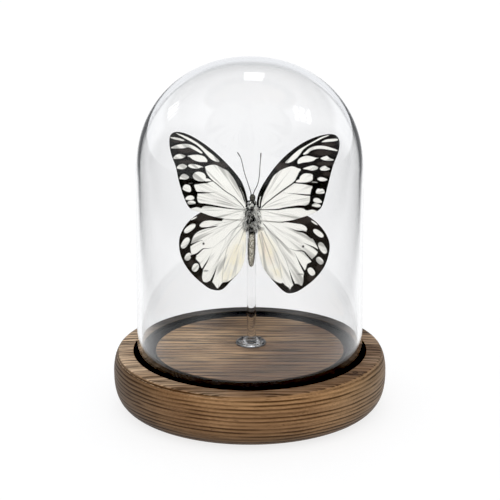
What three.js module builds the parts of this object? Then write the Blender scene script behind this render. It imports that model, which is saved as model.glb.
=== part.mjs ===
// Butterfly under a glass dome: a turned wooden base with a channel, a black
// rubber ring in the channel, a blown glass dome standing in the ring, and a
// butterfly fixed in front of a clear rod.
// Millimetres, +Z up. The origin is on the floor under the middle of the base.
// The butterfly's upper side faces -Y, its head points to +Z.

import * as THREE from 'three';

// Wooden base
const baseFootRadius = 48;
const baseWidestRadius = 60.5;
const baseWidestHeight = 16.5;
const baseSideBelow = 2.8;      // roundness of the side under the widest line
const baseSideAbove = 1.6;      // roundness of the side over the widest line
const baseSideSteps = 6;
const rimHeight = 25;
const rimTopDrop = 0.3;         // the rim's top falls a little towards its edge
const rimEdgeRadius = 58.9;
const rimEdgeEase = 1.2;
const rimEdgeSteps = 3;
const plateauHeight = 25.7;
const plateauRadius = 42;
const plateauEdgeEase = 0.4;
const channelOuterRadius = 51.6;
const channelFloor = 19.5;

// Black ring in the channel
const ringClearance = 0.15;
const ringInnerHeight = 25;
const ringOuterHeight = 24.2;
const ringGrooveClearance = 0.2;
const ringGrooveFloor = 21.5;
const ringEase = 0.5;

// Glass dome
const domeRadius = 50;
const domeWall = 2;
const domeShoulderHeight = 108;
const domeTopHeight = 157.5;
const domeCrownWall = 2.4;
const domeRoundness = 2.14;
const domeCapSteps = 11;

// Clear rod and its foot
const rodX = 0.75;
const rodY = 6.2;
const rodRadius = 2;
const rodTop = 92;
const footX = 0.5;
const footRadius = 6.9;
const footEdgeHeight = 0.6;
const footBossRadius = 3.3;
const footBossHeight = 2.2;
const footSocketRadius = 2.35;
const footSocketFloor = 0.8;

// Butterfly
const butterflyX = 0.8;
const butterflyY = 1.4;
const butterflyZ = 88.6;
const bodyOffset = 0.3;         // the body sits a little right of the wings' middle
const bodyLean = THREE.MathUtils.degToRad(1.1);
const bodyDepthRatio = 0.96;
const wingThickness = 0.4;
const wingEdgeSteps = 3;
const forewingDepth = -1.2;     // front face of the forewings, from the body's middle
const hindwingDepth = -0.5;
const antennaRadius = 0.25;
const antennaDepth = -0.6;
const antennaSteps = 14;
const antennaSides = 4;

const roundSteps = 64;
const smallRoundSteps = 24;

const materials = {
  wood: { color: 0x8a6f57, roughness: 0.6, metalness: 0 },
  rubber: { color: 0x111212, roughness: 0.7, metalness: 0 },
  glass: { color: 0xf4f6f7, roughness: 0.03, metalness: 0, transparent: true, opacity: 0.25 },
  acrylic: { color: 0xf2f4f5, roughness: 0.05, metalness: 0, transparent: true, opacity: 0.4 },
  body: { color: 0x6a685c, roughness: 0.9, metalness: 0 },
  wing: { color: 0xebeae2, roughness: 0.8, metalness: 0 },
  antenna: { color: 0x33322e, roughness: 0.8, metalness: 0 },
};

const part = new THREE.Group();

function addPiece(name, geometry, look, x = 0, y = 0, z = 0) {
  const piece = new THREE.Mesh(geometry, new THREE.MeshStandardMaterial(materials[look]));
  piece.name = name;
  piece.position.set(x, y, z);
  part.add(piece);
  return piece;
}

// Turns [radius, height] points about the Z axis.
function turned(outline, steps) {
  const points = outline.map(([radius, height]) => new THREE.Vector2(radius, height));
  const geometry = new THREE.LatheGeometry(points, steps);
  geometry.rotateX(Math.PI / 2);
  return geometry;
}

// A quarter of a rounded box outline, from (sideRadius, sideHeight) to
// (endRadius, endHeight). A roundness of 2 is an ellipse, more is squarer.
function roundedQuarter(sideRadius, sideHeight, endRadius, endHeight, roundness, steps) {
  const points = [];
  for (let i = 0; i <= steps; i += 1) {
    const angle = (i / steps) * Math.PI / 2;
    const across = i === steps ? 0 : Math.cos(angle) ** (2 / roundness);
    const along = Math.sin(angle) ** (2 / roundness);
    points.push([
      endRadius + (sideRadius - endRadius) * across,
      sideHeight + (endHeight - sideHeight) * along,
    ]);
  }
  return points;
}

function woodenBase() {
  const sideBelow = roundedQuarter(
    baseWidestRadius, baseWidestHeight, baseFootRadius, 0, baseSideBelow, baseSideSteps,
  ).reverse();
  const rimEdgeHeight = rimHeight - rimTopDrop;
  const sideAbove = roundedQuarter(
    baseWidestRadius, baseWidestHeight, rimEdgeRadius, rimEdgeHeight - rimEdgeEase,
    baseSideAbove, baseSideSteps,
  ).slice(1);
  const rimEdge = roundedQuarter(
    rimEdgeRadius, rimEdgeHeight - rimEdgeEase, rimEdgeRadius - rimEdgeEase, rimEdgeHeight,
    2, rimEdgeSteps,
  ).slice(1);
  return turned([
    [0, 0],
    ...sideBelow,
    ...sideAbove,
    ...rimEdge,
    [channelOuterRadius, rimHeight],
    [channelOuterRadius, channelFloor],
    [plateauRadius, channelFloor],
    [plateauRadius, plateauHeight - plateauEdgeEase],
    [plateauRadius - plateauEdgeEase, plateauHeight],
    [0, plateauHeight],
  ], roundSteps);
}

// The ring has a groove that takes the dome's open edge.
function seatRing() {
  const inside = plateauRadius + ringClearance;
  const outside = channelOuterRadius - ringClearance;
  const grooveInside = domeRadius - domeWall - ringGrooveClearance;
  const grooveOutside = domeRadius + ringGrooveClearance;
  return turned([
    [inside, channelFloor],
    [outside, channelFloor],
    [outside, ringOuterHeight],
    [grooveOutside, ringOuterHeight],
    [grooveOutside, ringGrooveFloor],
    [grooveInside, ringGrooveFloor],
    [grooveInside, ringInnerHeight - ringEase],
    [grooveInside - ringEase, ringInnerHeight],
    [inside, ringInnerHeight],
    [inside, channelFloor],
  ], roundSteps);
}

// The dome is open at the bottom. Its crown is a little thicker than its wall.
function glassDome() {
  const innerCap = roundedQuarter(
    domeRadius - domeWall, domeShoulderHeight, 0, domeTopHeight - domeCrownWall,
    domeRoundness, domeCapSteps,
  ).reverse();
  const outerCap = roundedQuarter(
    domeRadius, domeShoulderHeight, 0, domeTopHeight, domeRoundness, domeCapSteps,
  );
  return turned([
    ...innerCap,
    [domeRadius - domeWall, ringGrooveFloor],
    [domeRadius, ringGrooveFloor],
    ...outerCap,
  ], roundSteps);
}

function clearRod() {
  const floor = plateauHeight + footSocketFloor;
  return turned([
    [0, floor],
    [rodRadius, floor],
    [rodRadius, rodTop],
    [0, rodTop],
  ], smallRoundSteps);
}

function rodFoot() {
  return turned([
    [0, 0],
    [footRadius, 0],
    [footRadius, footEdgeHeight],
    [footRadius - 0.5, footEdgeHeight + 0.5],
    [footBossRadius + 0.6, footEdgeHeight + 0.8],
    [footBossRadius, footBossHeight - 0.4],
    [footBossRadius - 0.4, footBossHeight],
    [footSocketRadius, footBossHeight],
    [footSocketRadius, footSocketFloor],
    [0, footSocketFloor],
  ], smallRoundSteps);
}

// Half widths of the body from the tip of the abdomen to the top of the head.
const bodyOutline = [
  [0, -25.3], [0.8, -24.8], [1.35, -23], [1.65, -20], [1.75, -16], [1.65, -12],
  [1.5, -9.5], [1.8, -7.5], [2.3, -4.5], [2.4, -1], [2.2, 2], [1.7, 4],
  [1.05, 5.2], [1.35, 6], [1.25, 7], [0.7, 7.9], [0, 8.4],
];

function butterflyBody() {
  const geometry = turned(bodyOutline, smallRoundSteps);
  geometry.scale(1, bodyDepthRatio, 1);
  return geometry;
}

// Wing outlines as [x, z] from the middle of the thorax. Each starts at the root
// and runs along the leading edge, the outer edge and the inner edge.
const leftForewingOutline = [
  [-2.3, 2], [-1.7, 5.2], [-3.3, 11.6], [-5.6, 16.2], [-11.1, 22.9], [-18.2, 29.7],
  [-25.9, 35.1],
  [-31.7, 37.1], [-34.9, 36], [-35.7, 32.7], [-35.1, 27.5], [-33.1, 21.1], [-31.7, 14],
  [-29.8, 7.5], [-27, 2.2], [-22.4, 0.4], [-16.8, -1.7], [-9, -3.1], [-2.5, -2.9],
];
const rightForewingOutline = [
  [2.8, 2], [2.2, 4.6], [3.4, 9.6], [6.3, 15.2], [11.2, 22.2], [16.8, 28],
  [23.4, 32.7],
  [30.3, 35.5], [35.6, 35.9], [38, 33.3], [37.8, 28.3], [35.4, 21.3], [33.8, 14.6],
  [32.2, 7.8], [30.7, 3], [28.2, 0.6], [22.8, -1.8], [14, -4], [3, -3.4],
];
const leftHindwingOutline = [
  [-2.5, -1.5], [-10, -1.2], [-18, 1.4], [-23.4, -0.6], [-28.3, -4.8], [-31.4, -10.3],
  [-31.9, -16], [-30.4, -22], [-26.6, -28.2], [-21.4, -33.3], [-17.6, -35.7],
  [-13.2, -35.8], [-9.3, -32], [-5, -26.9], [-3, -21], [-2.3, -14], [-2.6, -8],
];
const rightHindwingOutline = [
  [3, -2], [11, -2.4], [19, -0.4], [24.8, -1.7], [30.2, -6.2], [33.6, -11.6],
  [34.4, -17], [32.4, -24.4], [28.4, -30.2], [23.6, -34.4], [19.1, -37.1],
  [14.8, -37], [9.5, -31.7], [5.4, -26], [3.4, -20], [2.5, -14], [2.8, -8],
];

// A thin plate with the wing's outline, its upper side at y = 0 facing -Y. The edge
// is a spline through the outline, closed by a straight line along the root.
function wingPlate(outline) {
  const corners = outline.map(([x, z]) => new THREE.Vector2(x, z));
  const edge = new THREE.SplineCurve(corners).getPoints(outline.length * wingEdgeSteps);
  const geometry = new THREE.ExtrudeGeometry(new THREE.Shape(edge), {
    depth: wingThickness, bevelEnabled: false,
  });
  geometry.rotateX(Math.PI / 2);
  geometry.translate(0, wingThickness, 0);
  return geometry;
}

// Antennae as [x, z] from the middle of the thorax, from the head to the tip.
const leftAntennaPath = [
  [-0.3, 8.5], [-1.9, 13.8], [-3.2, 18], [-4.1, 22.2], [-4.8, 24.7], [-6.3, 27.3],
];
const rightAntennaPath = [
  [1, 8.7], [2.7, 12.6], [3.4, 16.5], [3.7, 21.4], [3.95, 24.5], [4.1, 27.1],
];

function antenna(path) {
  const line = new THREE.CatmullRomCurve3(path.map(([x, z]) => new THREE.Vector3(x, 0, z)));
  const section = new THREE.Shape();
  section.absarc(0, 0, antennaRadius, 0, Math.PI * 2, false);
  return new THREE.ExtrudeGeometry(section, {
    steps: antennaSteps, extrudePath: line, curveSegments: antennaSides, bevelEnabled: false,
  });
}

function addButterflyPiece(name, geometry, look, depth, offset = 0) {
  return addPiece(
    name, geometry, look, butterflyX + offset, butterflyY + depth, butterflyZ,
  );
}

addPiece('wooden_base', woodenBase(), 'wood');
addPiece('black_ring', seatRing(), 'rubber');
addPiece('glass_dome', glassDome(), 'glass');
addPiece('rod_foot', rodFoot(), 'acrylic', footX, rodY, plateauHeight);
addPiece('clear_rod', clearRod(), 'acrylic', rodX, rodY);

const body = addButterflyPiece('butterfly_body', butterflyBody(), 'body', 0, bodyOffset);
body.rotation.y = bodyLean;
addButterflyPiece('left_forewing', wingPlate(leftForewingOutline), 'wing', forewingDepth);
addButterflyPiece('right_forewing', wingPlate(rightForewingOutline), 'wing', forewingDepth);
addButterflyPiece('left_hindwing', wingPlate(leftHindwingOutline), 'wing', hindwingDepth);
addButterflyPiece('right_hindwing', wingPlate(rightHindwingOutline), 'wing', hindwingDepth);
addButterflyPiece('left_antenna', antenna(leftAntennaPath), 'antenna', antennaDepth);
addButterflyPiece('right_antenna', antenna(rightAntennaPath), 'antenna', antennaDepth);

export default part;
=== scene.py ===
import math
import random

import bmesh
import bpy
import numpy as np
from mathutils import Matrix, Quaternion, Vector, geometry, noise


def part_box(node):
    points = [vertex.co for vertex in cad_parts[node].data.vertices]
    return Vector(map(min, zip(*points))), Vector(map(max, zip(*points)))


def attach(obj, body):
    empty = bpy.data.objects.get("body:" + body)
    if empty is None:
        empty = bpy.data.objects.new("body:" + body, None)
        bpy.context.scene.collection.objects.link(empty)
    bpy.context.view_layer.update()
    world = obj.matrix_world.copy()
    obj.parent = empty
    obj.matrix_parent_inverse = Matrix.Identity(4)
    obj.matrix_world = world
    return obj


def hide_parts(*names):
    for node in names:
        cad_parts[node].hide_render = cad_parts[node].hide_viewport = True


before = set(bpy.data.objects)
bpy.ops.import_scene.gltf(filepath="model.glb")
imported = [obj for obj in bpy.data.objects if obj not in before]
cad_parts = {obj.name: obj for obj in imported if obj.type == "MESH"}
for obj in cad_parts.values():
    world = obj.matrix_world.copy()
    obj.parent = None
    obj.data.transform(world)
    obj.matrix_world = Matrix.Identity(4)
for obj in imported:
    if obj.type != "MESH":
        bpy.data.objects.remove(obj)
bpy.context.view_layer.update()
mm = 0.001
print("frame loaded,", len(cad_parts), "parts")


# the camera, the floor and the light

cameraSetup = {
    "elevation": 18.4,            # degrees above the horizon
    "distance": 1333,             # mm
    "target": (0.1, 0, 71.3),     # mm
    "lens": 217.9,
    "sensor": 36,
}
floorSetup = {
    "size": 6,
    "colour": (172, 172, 172),
    "glow": 0.615,
    "roughness": 0.85,
    "specular": 0.2,
    "drop": 0.02,                    # mm below the base
    "farColour": (124, 124, 124),    # outside the lit sheet
    "sheetSides": (134, 205),        # mm from the middle where the sheet fades out
    "sheetWidens": 0.0783,           # the sheet is wider at the back by this much
    "sheetFront": (120, 240),
}
skySetup = {
    "colour": (0.96, 0.975, 1.0),
    "low": 0.32,                  # brightness near the horizon, behind and at the sides
    "front": 0.42,                # the pale wall behind the camera
    "overhead": 0.62,
    "backdrop": 0.74,             # the sweep's upper part, behind the dome
    "right": 0.45,                # share of the light that the right side keeps
    # where each part begins and ends, as x, y or z of the direction
    "frontRange": (-0.75, 0.05),
    "overheadRange": (0.55, 0.9),
    "rightRange": (0.2, 0.8),
    "behindRange": (0.2, 0.5),
    "backdropTop": (0.22, 0.42),
}
keySetup = {
    "azimuth": 8,                 # degrees, 0 is the front, 90 the right
    "elevation": 38,
    "distance": 1200,             # mm
    "aimHeight": 70,
    "size": (700, 500),
    "light": 11.6,
}
windows = {
    # name: direction from the dome in degrees (0 is the front, 90 the right), pane count across
    # and up, pane width and height in mm at a distance of 1.2 m, gap between panes, turn about
    # its own axis in degrees, brightness
    "back window": {
        "azimuth": 177, "elevation": 49, "panes": (1, 2), "pane": (190, 88), "gap": 40,
        "turn": 0, "light": 2.6},
    "right window": {
        "azimuth": 95, "elevation": 47, "panes": (2, 3), "pane": (120, 80), "gap": 36,
        "turn": 24, "light": 2.8},
    "left window": {
        "azimuth": -125, "elevation": 26, "panes": (3, 1), "pane": (52, 200), "gap": 36,
        "turn": 0, "light": 1.7},
}
windowDistance = 1200
windowAimHeight = 120
pictureSetup = {"blackLevel": 0.017, "exposure": 0.34, "bounces": 24, "glossyBounces": 8}


def placeCamera():
    data = bpy.data.cameras.new("camera")
    data.lens = cameraSetup["lens"]
    data.sensor_width = cameraSetup["sensor"]
    data.clip_end = 100
    camera = bpy.data.objects.new("camera", data)
    rise = math.radians(cameraSetup["elevation"])
    back = Vector((0, -math.cos(rise), math.sin(rise))) * cameraSetup["distance"]
    camera.location = (Vector(cameraSetup["target"]) + back) * mm
    camera.rotation_euler = (math.pi / 2 - rise, 0, 0)
    bpy.context.scene.collection.objects.link(camera)
    bpy.context.scene.camera = camera


def tone(red, green, blue):    # display values from 0 to 255 as a linear colour
    linear = []
    for value in (red, green, blue):
        share = value / 255
        linear.append(share / 12.92 if share <= 0.04045 else ((share + 0.055) / 1.055) ** 2.4)
    return (*linear, 1)


def newMaterial(name, roughness=0.5, specular=0.5):
    material = bpy.data.materials.new(name)
    material.use_nodes = True
    shader = material.node_tree.nodes["Principled BSDF"]
    shader.inputs["Roughness"].default_value = roughness
    shader.inputs["Specular IOR Level"].default_value = specular
    return material, shader


def addNode(material, kind, inputs=None, **settings):
    tree = material.node_tree
    node = tree.nodes.new(kind)
    for key, value in settings.items():
        setattr(node, key, value)
    for key, value in (inputs or {}).items():
        if isinstance(value, bpy.types.NodeSocket):
            tree.links.new(value, node.inputs[key])
        else:
            node.inputs[key].default_value = value
    return node


def sums(material, operation, *values):
    node = addNode(material, "ShaderNodeMath", dict(enumerate(values)), operation=operation)
    return node.outputs[0]


def blend(material, share, first, second, mode="MIX"):
    inputs = {0: share, 6: first, 7: second}
    return addNode(material, "ShaderNodeMix", inputs, data_type="RGBA", blend_type=mode).outputs[2]


def spread(material, value, low, high, newLow=0.0, newHigh=1.0):
    inputs = {"Value": value, 1: low, 2: high, 3: newLow, 4: newHigh}
    node = addNode(material, "ShaderNodeMapRange", inputs, interpolation_type="SMOOTHSTEP")
    return node.outputs[0]


def ramp(material, share, stops, interpolation="EASE"):
    node = addNode(material, "ShaderNodeValToRGB", {0: share})
    node.color_ramp.interpolation = interpolation
    elements = node.color_ramp.elements
    while len(elements) < len(stops):
        elements.new(0.5)
    for element, (place, value) in zip(elements, stops):
        element.position = place
        element.color = value if isinstance(value, tuple) else (value, value, value, 1)
    return node.outputs[0]


def placeInMm(material):
    coordinates = addNode(material, "ShaderNodeTexCoord")
    inputs = {0: coordinates.outputs["Object"], "Scale": 1 / mm}
    return addNode(material, "ShaderNodeVectorMath", inputs, operation="SCALE").outputs[0]


def heightInMm(material):
    return addNode(material, "ShaderNodeSeparateXYZ", {0: placeInMm(material)}).outputs[2]


# noise whose lumps are 1/stretch mm long along each axis
def stretchedNoise(material, place, stretch, detail=2.0, roughness=0.5):
    inputs = {0: place, 1: stretch}
    scaled = addNode(material, "ShaderNodeVectorMath", inputs, operation="MULTIPLY").outputs[0]
    inputs = {"Vector": scaled, "Scale": 1.0, "Detail": detail, "Roughness": roughness}
    return addNode(material, "ShaderNodeTexNoise", inputs).outputs["Fac"]


def addBump(material, shader, height, depth, strength=1.0):
    inputs = {"Height": height, "Distance": depth * mm, "Strength": strength}
    bump = addNode(material, "ShaderNodeBump", inputs)
    material.node_tree.links.new(bump.outputs[0], shader.inputs["Normal"])


def layFloor():
    half = floorSetup["size"] / 2
    mesh = bpy.data.meshes.new("floor")
    corners = [(-half, -half, 0), (half, -half, 0), (half, half, 0), (-half, half, 0)]
    mesh.from_pydata(corners, [], [(0, 1, 2, 3)])
    floor = bpy.data.objects.new("floor", mesh)
    floor.location.z = -floorSetup["drop"] * mm
    bpy.context.scene.collection.objects.link(floor)
    material, shader = newMaterial("pale floor", floorSetup["roughness"], floorSetup["specular"])
    place = placeInMm(material)
    speckle = stretchedNoise(material, place, (0.6, 0.6, 0.6), 4)
    pale = tone(*floorSetup["colour"])
    paler = tone(*(value + 3 for value in floorSetup["colour"]))
    colour = blend(material, speckle, pale, paler)
    axes = addNode(material, "ShaderNodeSeparateXYZ", {0: place}).outputs
    widened = sums(material, "MULTIPLY", axes[1], floorSetup["sheetWidens"])
    sides = sums(material, "SUBTRACT", sums(material, "ABSOLUTE", axes[0]), widened)
    sides = spread(material, sides, *floorSetup["sheetSides"], 1.0, 0.0)
    front = sums(material, "MULTIPLY", axes[1], -1.0)
    front = spread(material, front, *floorSetup["sheetFront"], 1.0, 0.0)
    sheet = sums(material, "MULTIPLY", sides, front)
    colour = blend(material, sheet, tone(*floorSetup["farColour"]), colour)
    material.node_tree.links.new(colour, shader.inputs["Base Color"])
    shader.inputs["Emission Color"].default_value = (1, 1, 1, 1)    # a light table
    glow = sums(material, "MULTIPLY", sheet, floorSetup["glow"])
    material.node_tree.links.new(glow, shader.inputs["Emission Strength"])
    mesh.materials.append(material)
    return floor


def paintSky():
    sky = skySetup
    world = bpy.data.worlds.new("studio")
    world.use_nodes = True
    bpy.context.scene.world = world
    direction = addNode(world, "ShaderNodeTexCoord").outputs["Generated"]
    axes = addNode(world, "ShaderNodeSeparateXYZ", {0: direction}).outputs
    front = spread(world, axes[1], *sky["frontRange"], sky["front"], sky["low"])
    overhead = spread(world, axes[2], *sky["overheadRange"], sky["low"], sky["overhead"])
    strength = sums(world, "MAXIMUM", front, overhead)
    right = spread(world, axes[0], *sky["rightRange"], 1.0, sky["right"])
    strength = sums(world, "MULTIPLY", strength, right)
    behind = spread(world, axes[1], *sky["behindRange"])
    backdrop = spread(world, axes[2], *sky["backdropTop"], sky["backdrop"], 0.0)
    strength = sums(world, "MAXIMUM", strength, sums(world, "MULTIPLY", behind, backdrop))
    background = world.node_tree.nodes["Background"]
    background.inputs["Color"].default_value = (*sky["colour"], 1)
    world.node_tree.links.new(strength, background.inputs["Strength"])


def directionOf(setup):
    across = math.radians(setup["azimuth"])
    rise = math.radians(setup["elevation"])
    return Vector((math.sin(across) * math.cos(rise), -math.cos(across) * math.cos(rise), math.sin(rise)))


def areaLight(name, size, light):
    width, height = (side * mm for side in size)
    data = bpy.data.lights.new(name, "AREA")
    data.shape = "RECTANGLE"
    data.size = width
    data.size_y = height
    data.energy = light * width * height * math.pi
    lamp = bpy.data.objects.new(name, data)
    bpy.context.scene.collection.objects.link(lamp)
    return lamp


def hangKey():
    towards = directionOf(keySetup)
    key = areaLight("key", keySetup["size"], keySetup["light"])
    key.location = (Vector((0, 0, keySetup["aimHeight"])) + towards * keySetup["distance"]) * mm
    key.rotation_euler = towards.to_track_quat("Z", "Y").to_euler()
    key.visible_camera = False
    key.visible_glossy = False
    key.visible_transmission = False
    return key


# the key light passes these blockers and doesn't light these receivers
def leaveOut(key, blockers, receivers):
    for purpose, objects in (("blocker_collection", blockers), ("receiver_collection", receivers)):
        group = bpy.data.collections.new("key " + purpose)
        for item in objects:
            group.objects.link(item)
        for link in group.collection_objects:
            link.light_linking.link_state = "EXCLUDE"
        setattr(key.light_linking, purpose, group)


def hangWindow(name, window):
    towards = directionOf(window)
    turn = towards.to_track_quat("Z", "Y") @ Quaternion((0, 0, 1), math.radians(window["turn"]))
    middle = Vector((0, 0, windowAimHeight)) + towards * windowDistance
    columns, rows = window["panes"]
    width, height = window["pane"]
    for column in range(columns):
        for row in range(rows):
            pane = areaLight(f"{name} {column} {row}", window["pane"], window["light"])
            shift = Vector((
                (column - (columns - 1) / 2) * (width + window["gap"]),
                (row - (rows - 1) / 2) * (height + window["gap"]), 0,
            ))
            pane.location = (middle + turn @ shift) * mm
            pane.rotation_euler = turn.to_euler()


def lightStudio():
    scene = bpy.context.scene
    paintSky()
    for name, window in windows.items():
        hangWindow(name, window)
    scene.view_settings.view_transform = "Standard"
    scene.view_settings.exposure = pictureSetup["exposure"]
    scene.view_settings.use_curve_mapping = True
    level = pictureSetup["blackLevel"]
    scene.view_settings.curve_mapping.black_level = (level, level, level)
    scene.view_settings.curve_mapping.update()
    scene.cycles.max_bounces = pictureSetup["bounces"]
    scene.cycles.transmission_bounces = pictureSetup["bounces"]
    scene.cycles.glossy_bounces = pictureSetup["glossyBounces"]


placeCamera()
floor = layFloor()
lightStudio()
key = hangKey()
print("camera, floor and light placed")


# what all pieces use

def finishPiece(name, mesh, materials, slot, *nodes):
    piece = bpy.data.objects.new(name, mesh)
    bpy.context.scene.collection.objects.link(piece)
    for material in materials:
        mesh.materials.append(material)
    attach(piece, "root")
    if nodes:
        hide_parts(*nodes)
    return piece


def meshFrom(bm, name, creaseAngle=40):
    bmesh.ops.recalc_face_normals(bm, faces=bm.faces)
    for face in bm.faces:
        face.smooth = True
    mesh = bpy.data.meshes.new(name)
    bm.to_mesh(mesh)
    bm.free()
    mesh.set_sharp_from_angle(angle=math.radians(creaseAngle))
    return mesh


# a quarter of a rounded box outline between two (radius, height) points
def roundedQuarter(side, end, roundness, steps):
    points = []
    for step in range(steps + 1):
        angle = step / steps * math.pi / 2
        across = max(math.cos(angle), 0) ** (2 / roundness) if step < steps else 0
        along = math.sin(angle) ** (2 / roundness)
        points.append((end[0] + (side[0] - end[0]) * across, side[1] + (end[1] - side[1]) * along))
    return points


# rounds the corners of an outline: sizes holds one distance for each point
def easeCorners(outline, sizes, steps=4):
    eased = []
    for i, (point, size) in enumerate(zip(outline, sizes)):
        if not size:
            eased.append(tuple(point))
            continue
        corner = Vector(point)
        before = (Vector(outline[i - 1]) - corner).normalized() * size + corner
        after = (Vector(outline[(i + 1) % len(outline)]) - corner).normalized() * size + corner
        for step in range(steps + 1):
            t = step / steps
            eased.append(tuple(before * (1 - t) ** 2 + corner * 2 * t * (1 - t) + after * t ** 2))
    return eased


# adds points along the straight stretches, so that none is longer than gap
def fillOut(outline, gap):
    filled = []
    for (r0, z0), (r1, z1) in zip(outline, outline[1:]):
        count = max(1, math.ceil(math.hypot(r1 - r0, z1 - z0) / gap))
        for step in range(count):
            t = step / count
            filled.append((r0 + (r1 - r0) * t, z0 + (z1 - z0) * t))
    filled.append(outline[-1])
    return filled


def bridge(bm, low, high):    # faces between two rings, either of which can be a single point
    around = max(len(low), len(high))
    if around == 1:
        return
    for step in range(around):
        after = (step + 1) % around
        corners = [low[step % len(low)]]
        if len(low) > 1:
            corners.append(low[after])
        if len(high) > 1:
            corners.append(high[after])
        corners.append(high[step % len(high)])
        bm.faces.new(corners)


# turns (radius, height) points in mm about an upright axis
def turned(outline, around, centre=(0, 0), closed=False):
    bm = bmesh.new()
    rings = []
    for radius, height in outline:
        if radius < 1e-6:
            rings.append([bm.verts.new((centre[0] * mm, centre[1] * mm, height * mm))])
            continue
        ring = []
        for step in range(around):
            angle = step / around * math.tau
            x = centre[0] + radius * math.cos(angle)
            y = centre[1] + radius * math.sin(angle)
            ring.append(bm.verts.new((x * mm, y * mm, height * mm)))
        rings.append(ring)
    if closed:
        rings.append(rings[0])
    for low, high in zip(rings, rings[1:]):
        bridge(bm, low, high)
    return bm


# the wooden base

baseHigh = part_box("wooden_base")[1]
woodenBase = {
    "footRadius": 48,
    "widestRadius": baseHigh.x / mm,
    "widestHeight": 16.5,
    "sideBelow": 2.8,         # roundness
    "sideAbove": 1.6,
    "rimHeight": 25,
    "rimTopDrop": 0.3,
    "rimEdgeRadius": 58.9,
    "rimEdgeEase": 1.2,
    "plateauHeight": baseHigh.z / mm,
    "plateauRadius": 42,
    "channelOuter": 51.6,
    "channelFloor": 19.5,
    "ease": 0.35,
    "around": 288,
}
woodLook = {
    # shades on the side and on the top, lightest first; the top's light shades are painted lighter and
    # greyer, standing in for sheen and the light falling on the top
    "side": [(150, 117, 84), (118, 89, 63), (48, 32, 20)],
    "top": [(204, 168, 126), (122, 90, 60), (30, 20, 13)],
    "rimSheenTint": (1.05, 1.17, 1.46),      # painted sheen: the rim's top is greyer than the middle
    "pore": (46, 33, 25),
    "sideSpacing": 1.76,      # mm between the dark lines up the side
    "topSpacing": 3.4,        # mm between the lines across the top
    "tilt": 0.03,             # the layers fall a little towards the back
    "sideDrift": 1.4,         # how far the lines stray, in line spacings
    "topDrift": 1.9,
    # how dark a line is, from its near edge to the next line
    "sideLine": [(0.0, 0.0), (0.25, 0.08), (0.55, 0.8), (0.70, 1.0), (0.86, 0.45), (1.0, 0.0)],
    "topLine": [(0.0, 0.0), (0.54, 0.05), (0.70, 0.55), (0.79, 1.0), (0.86, 0.45), (1.0, 0.0)],
    "grainDepth": 0.14,                 # mm
    "poreShare": 0.5,
    "knotShare": 0.45,
    "endGrainAndSideShade": (0.82, 0.91, 1.0),      # how dark the sides facing left and right are: end grain, and painted shade
    "lowerEdgeShade": 0.42,                  # painted shade: how dark the turned-in lower edge is
    "knot": (46, -30.5, 24.6),
    "knotSize": 5.0,
    "channel": (8, 8, 8),               # black where the ring sits
    "backRimShade": (30, 30, 30),            # painted shade on the rim behind the dome
    "backRimShadeFrom": (16, 34),
    "roughness": 0.55,
    "specular": 0.3,
}


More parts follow.
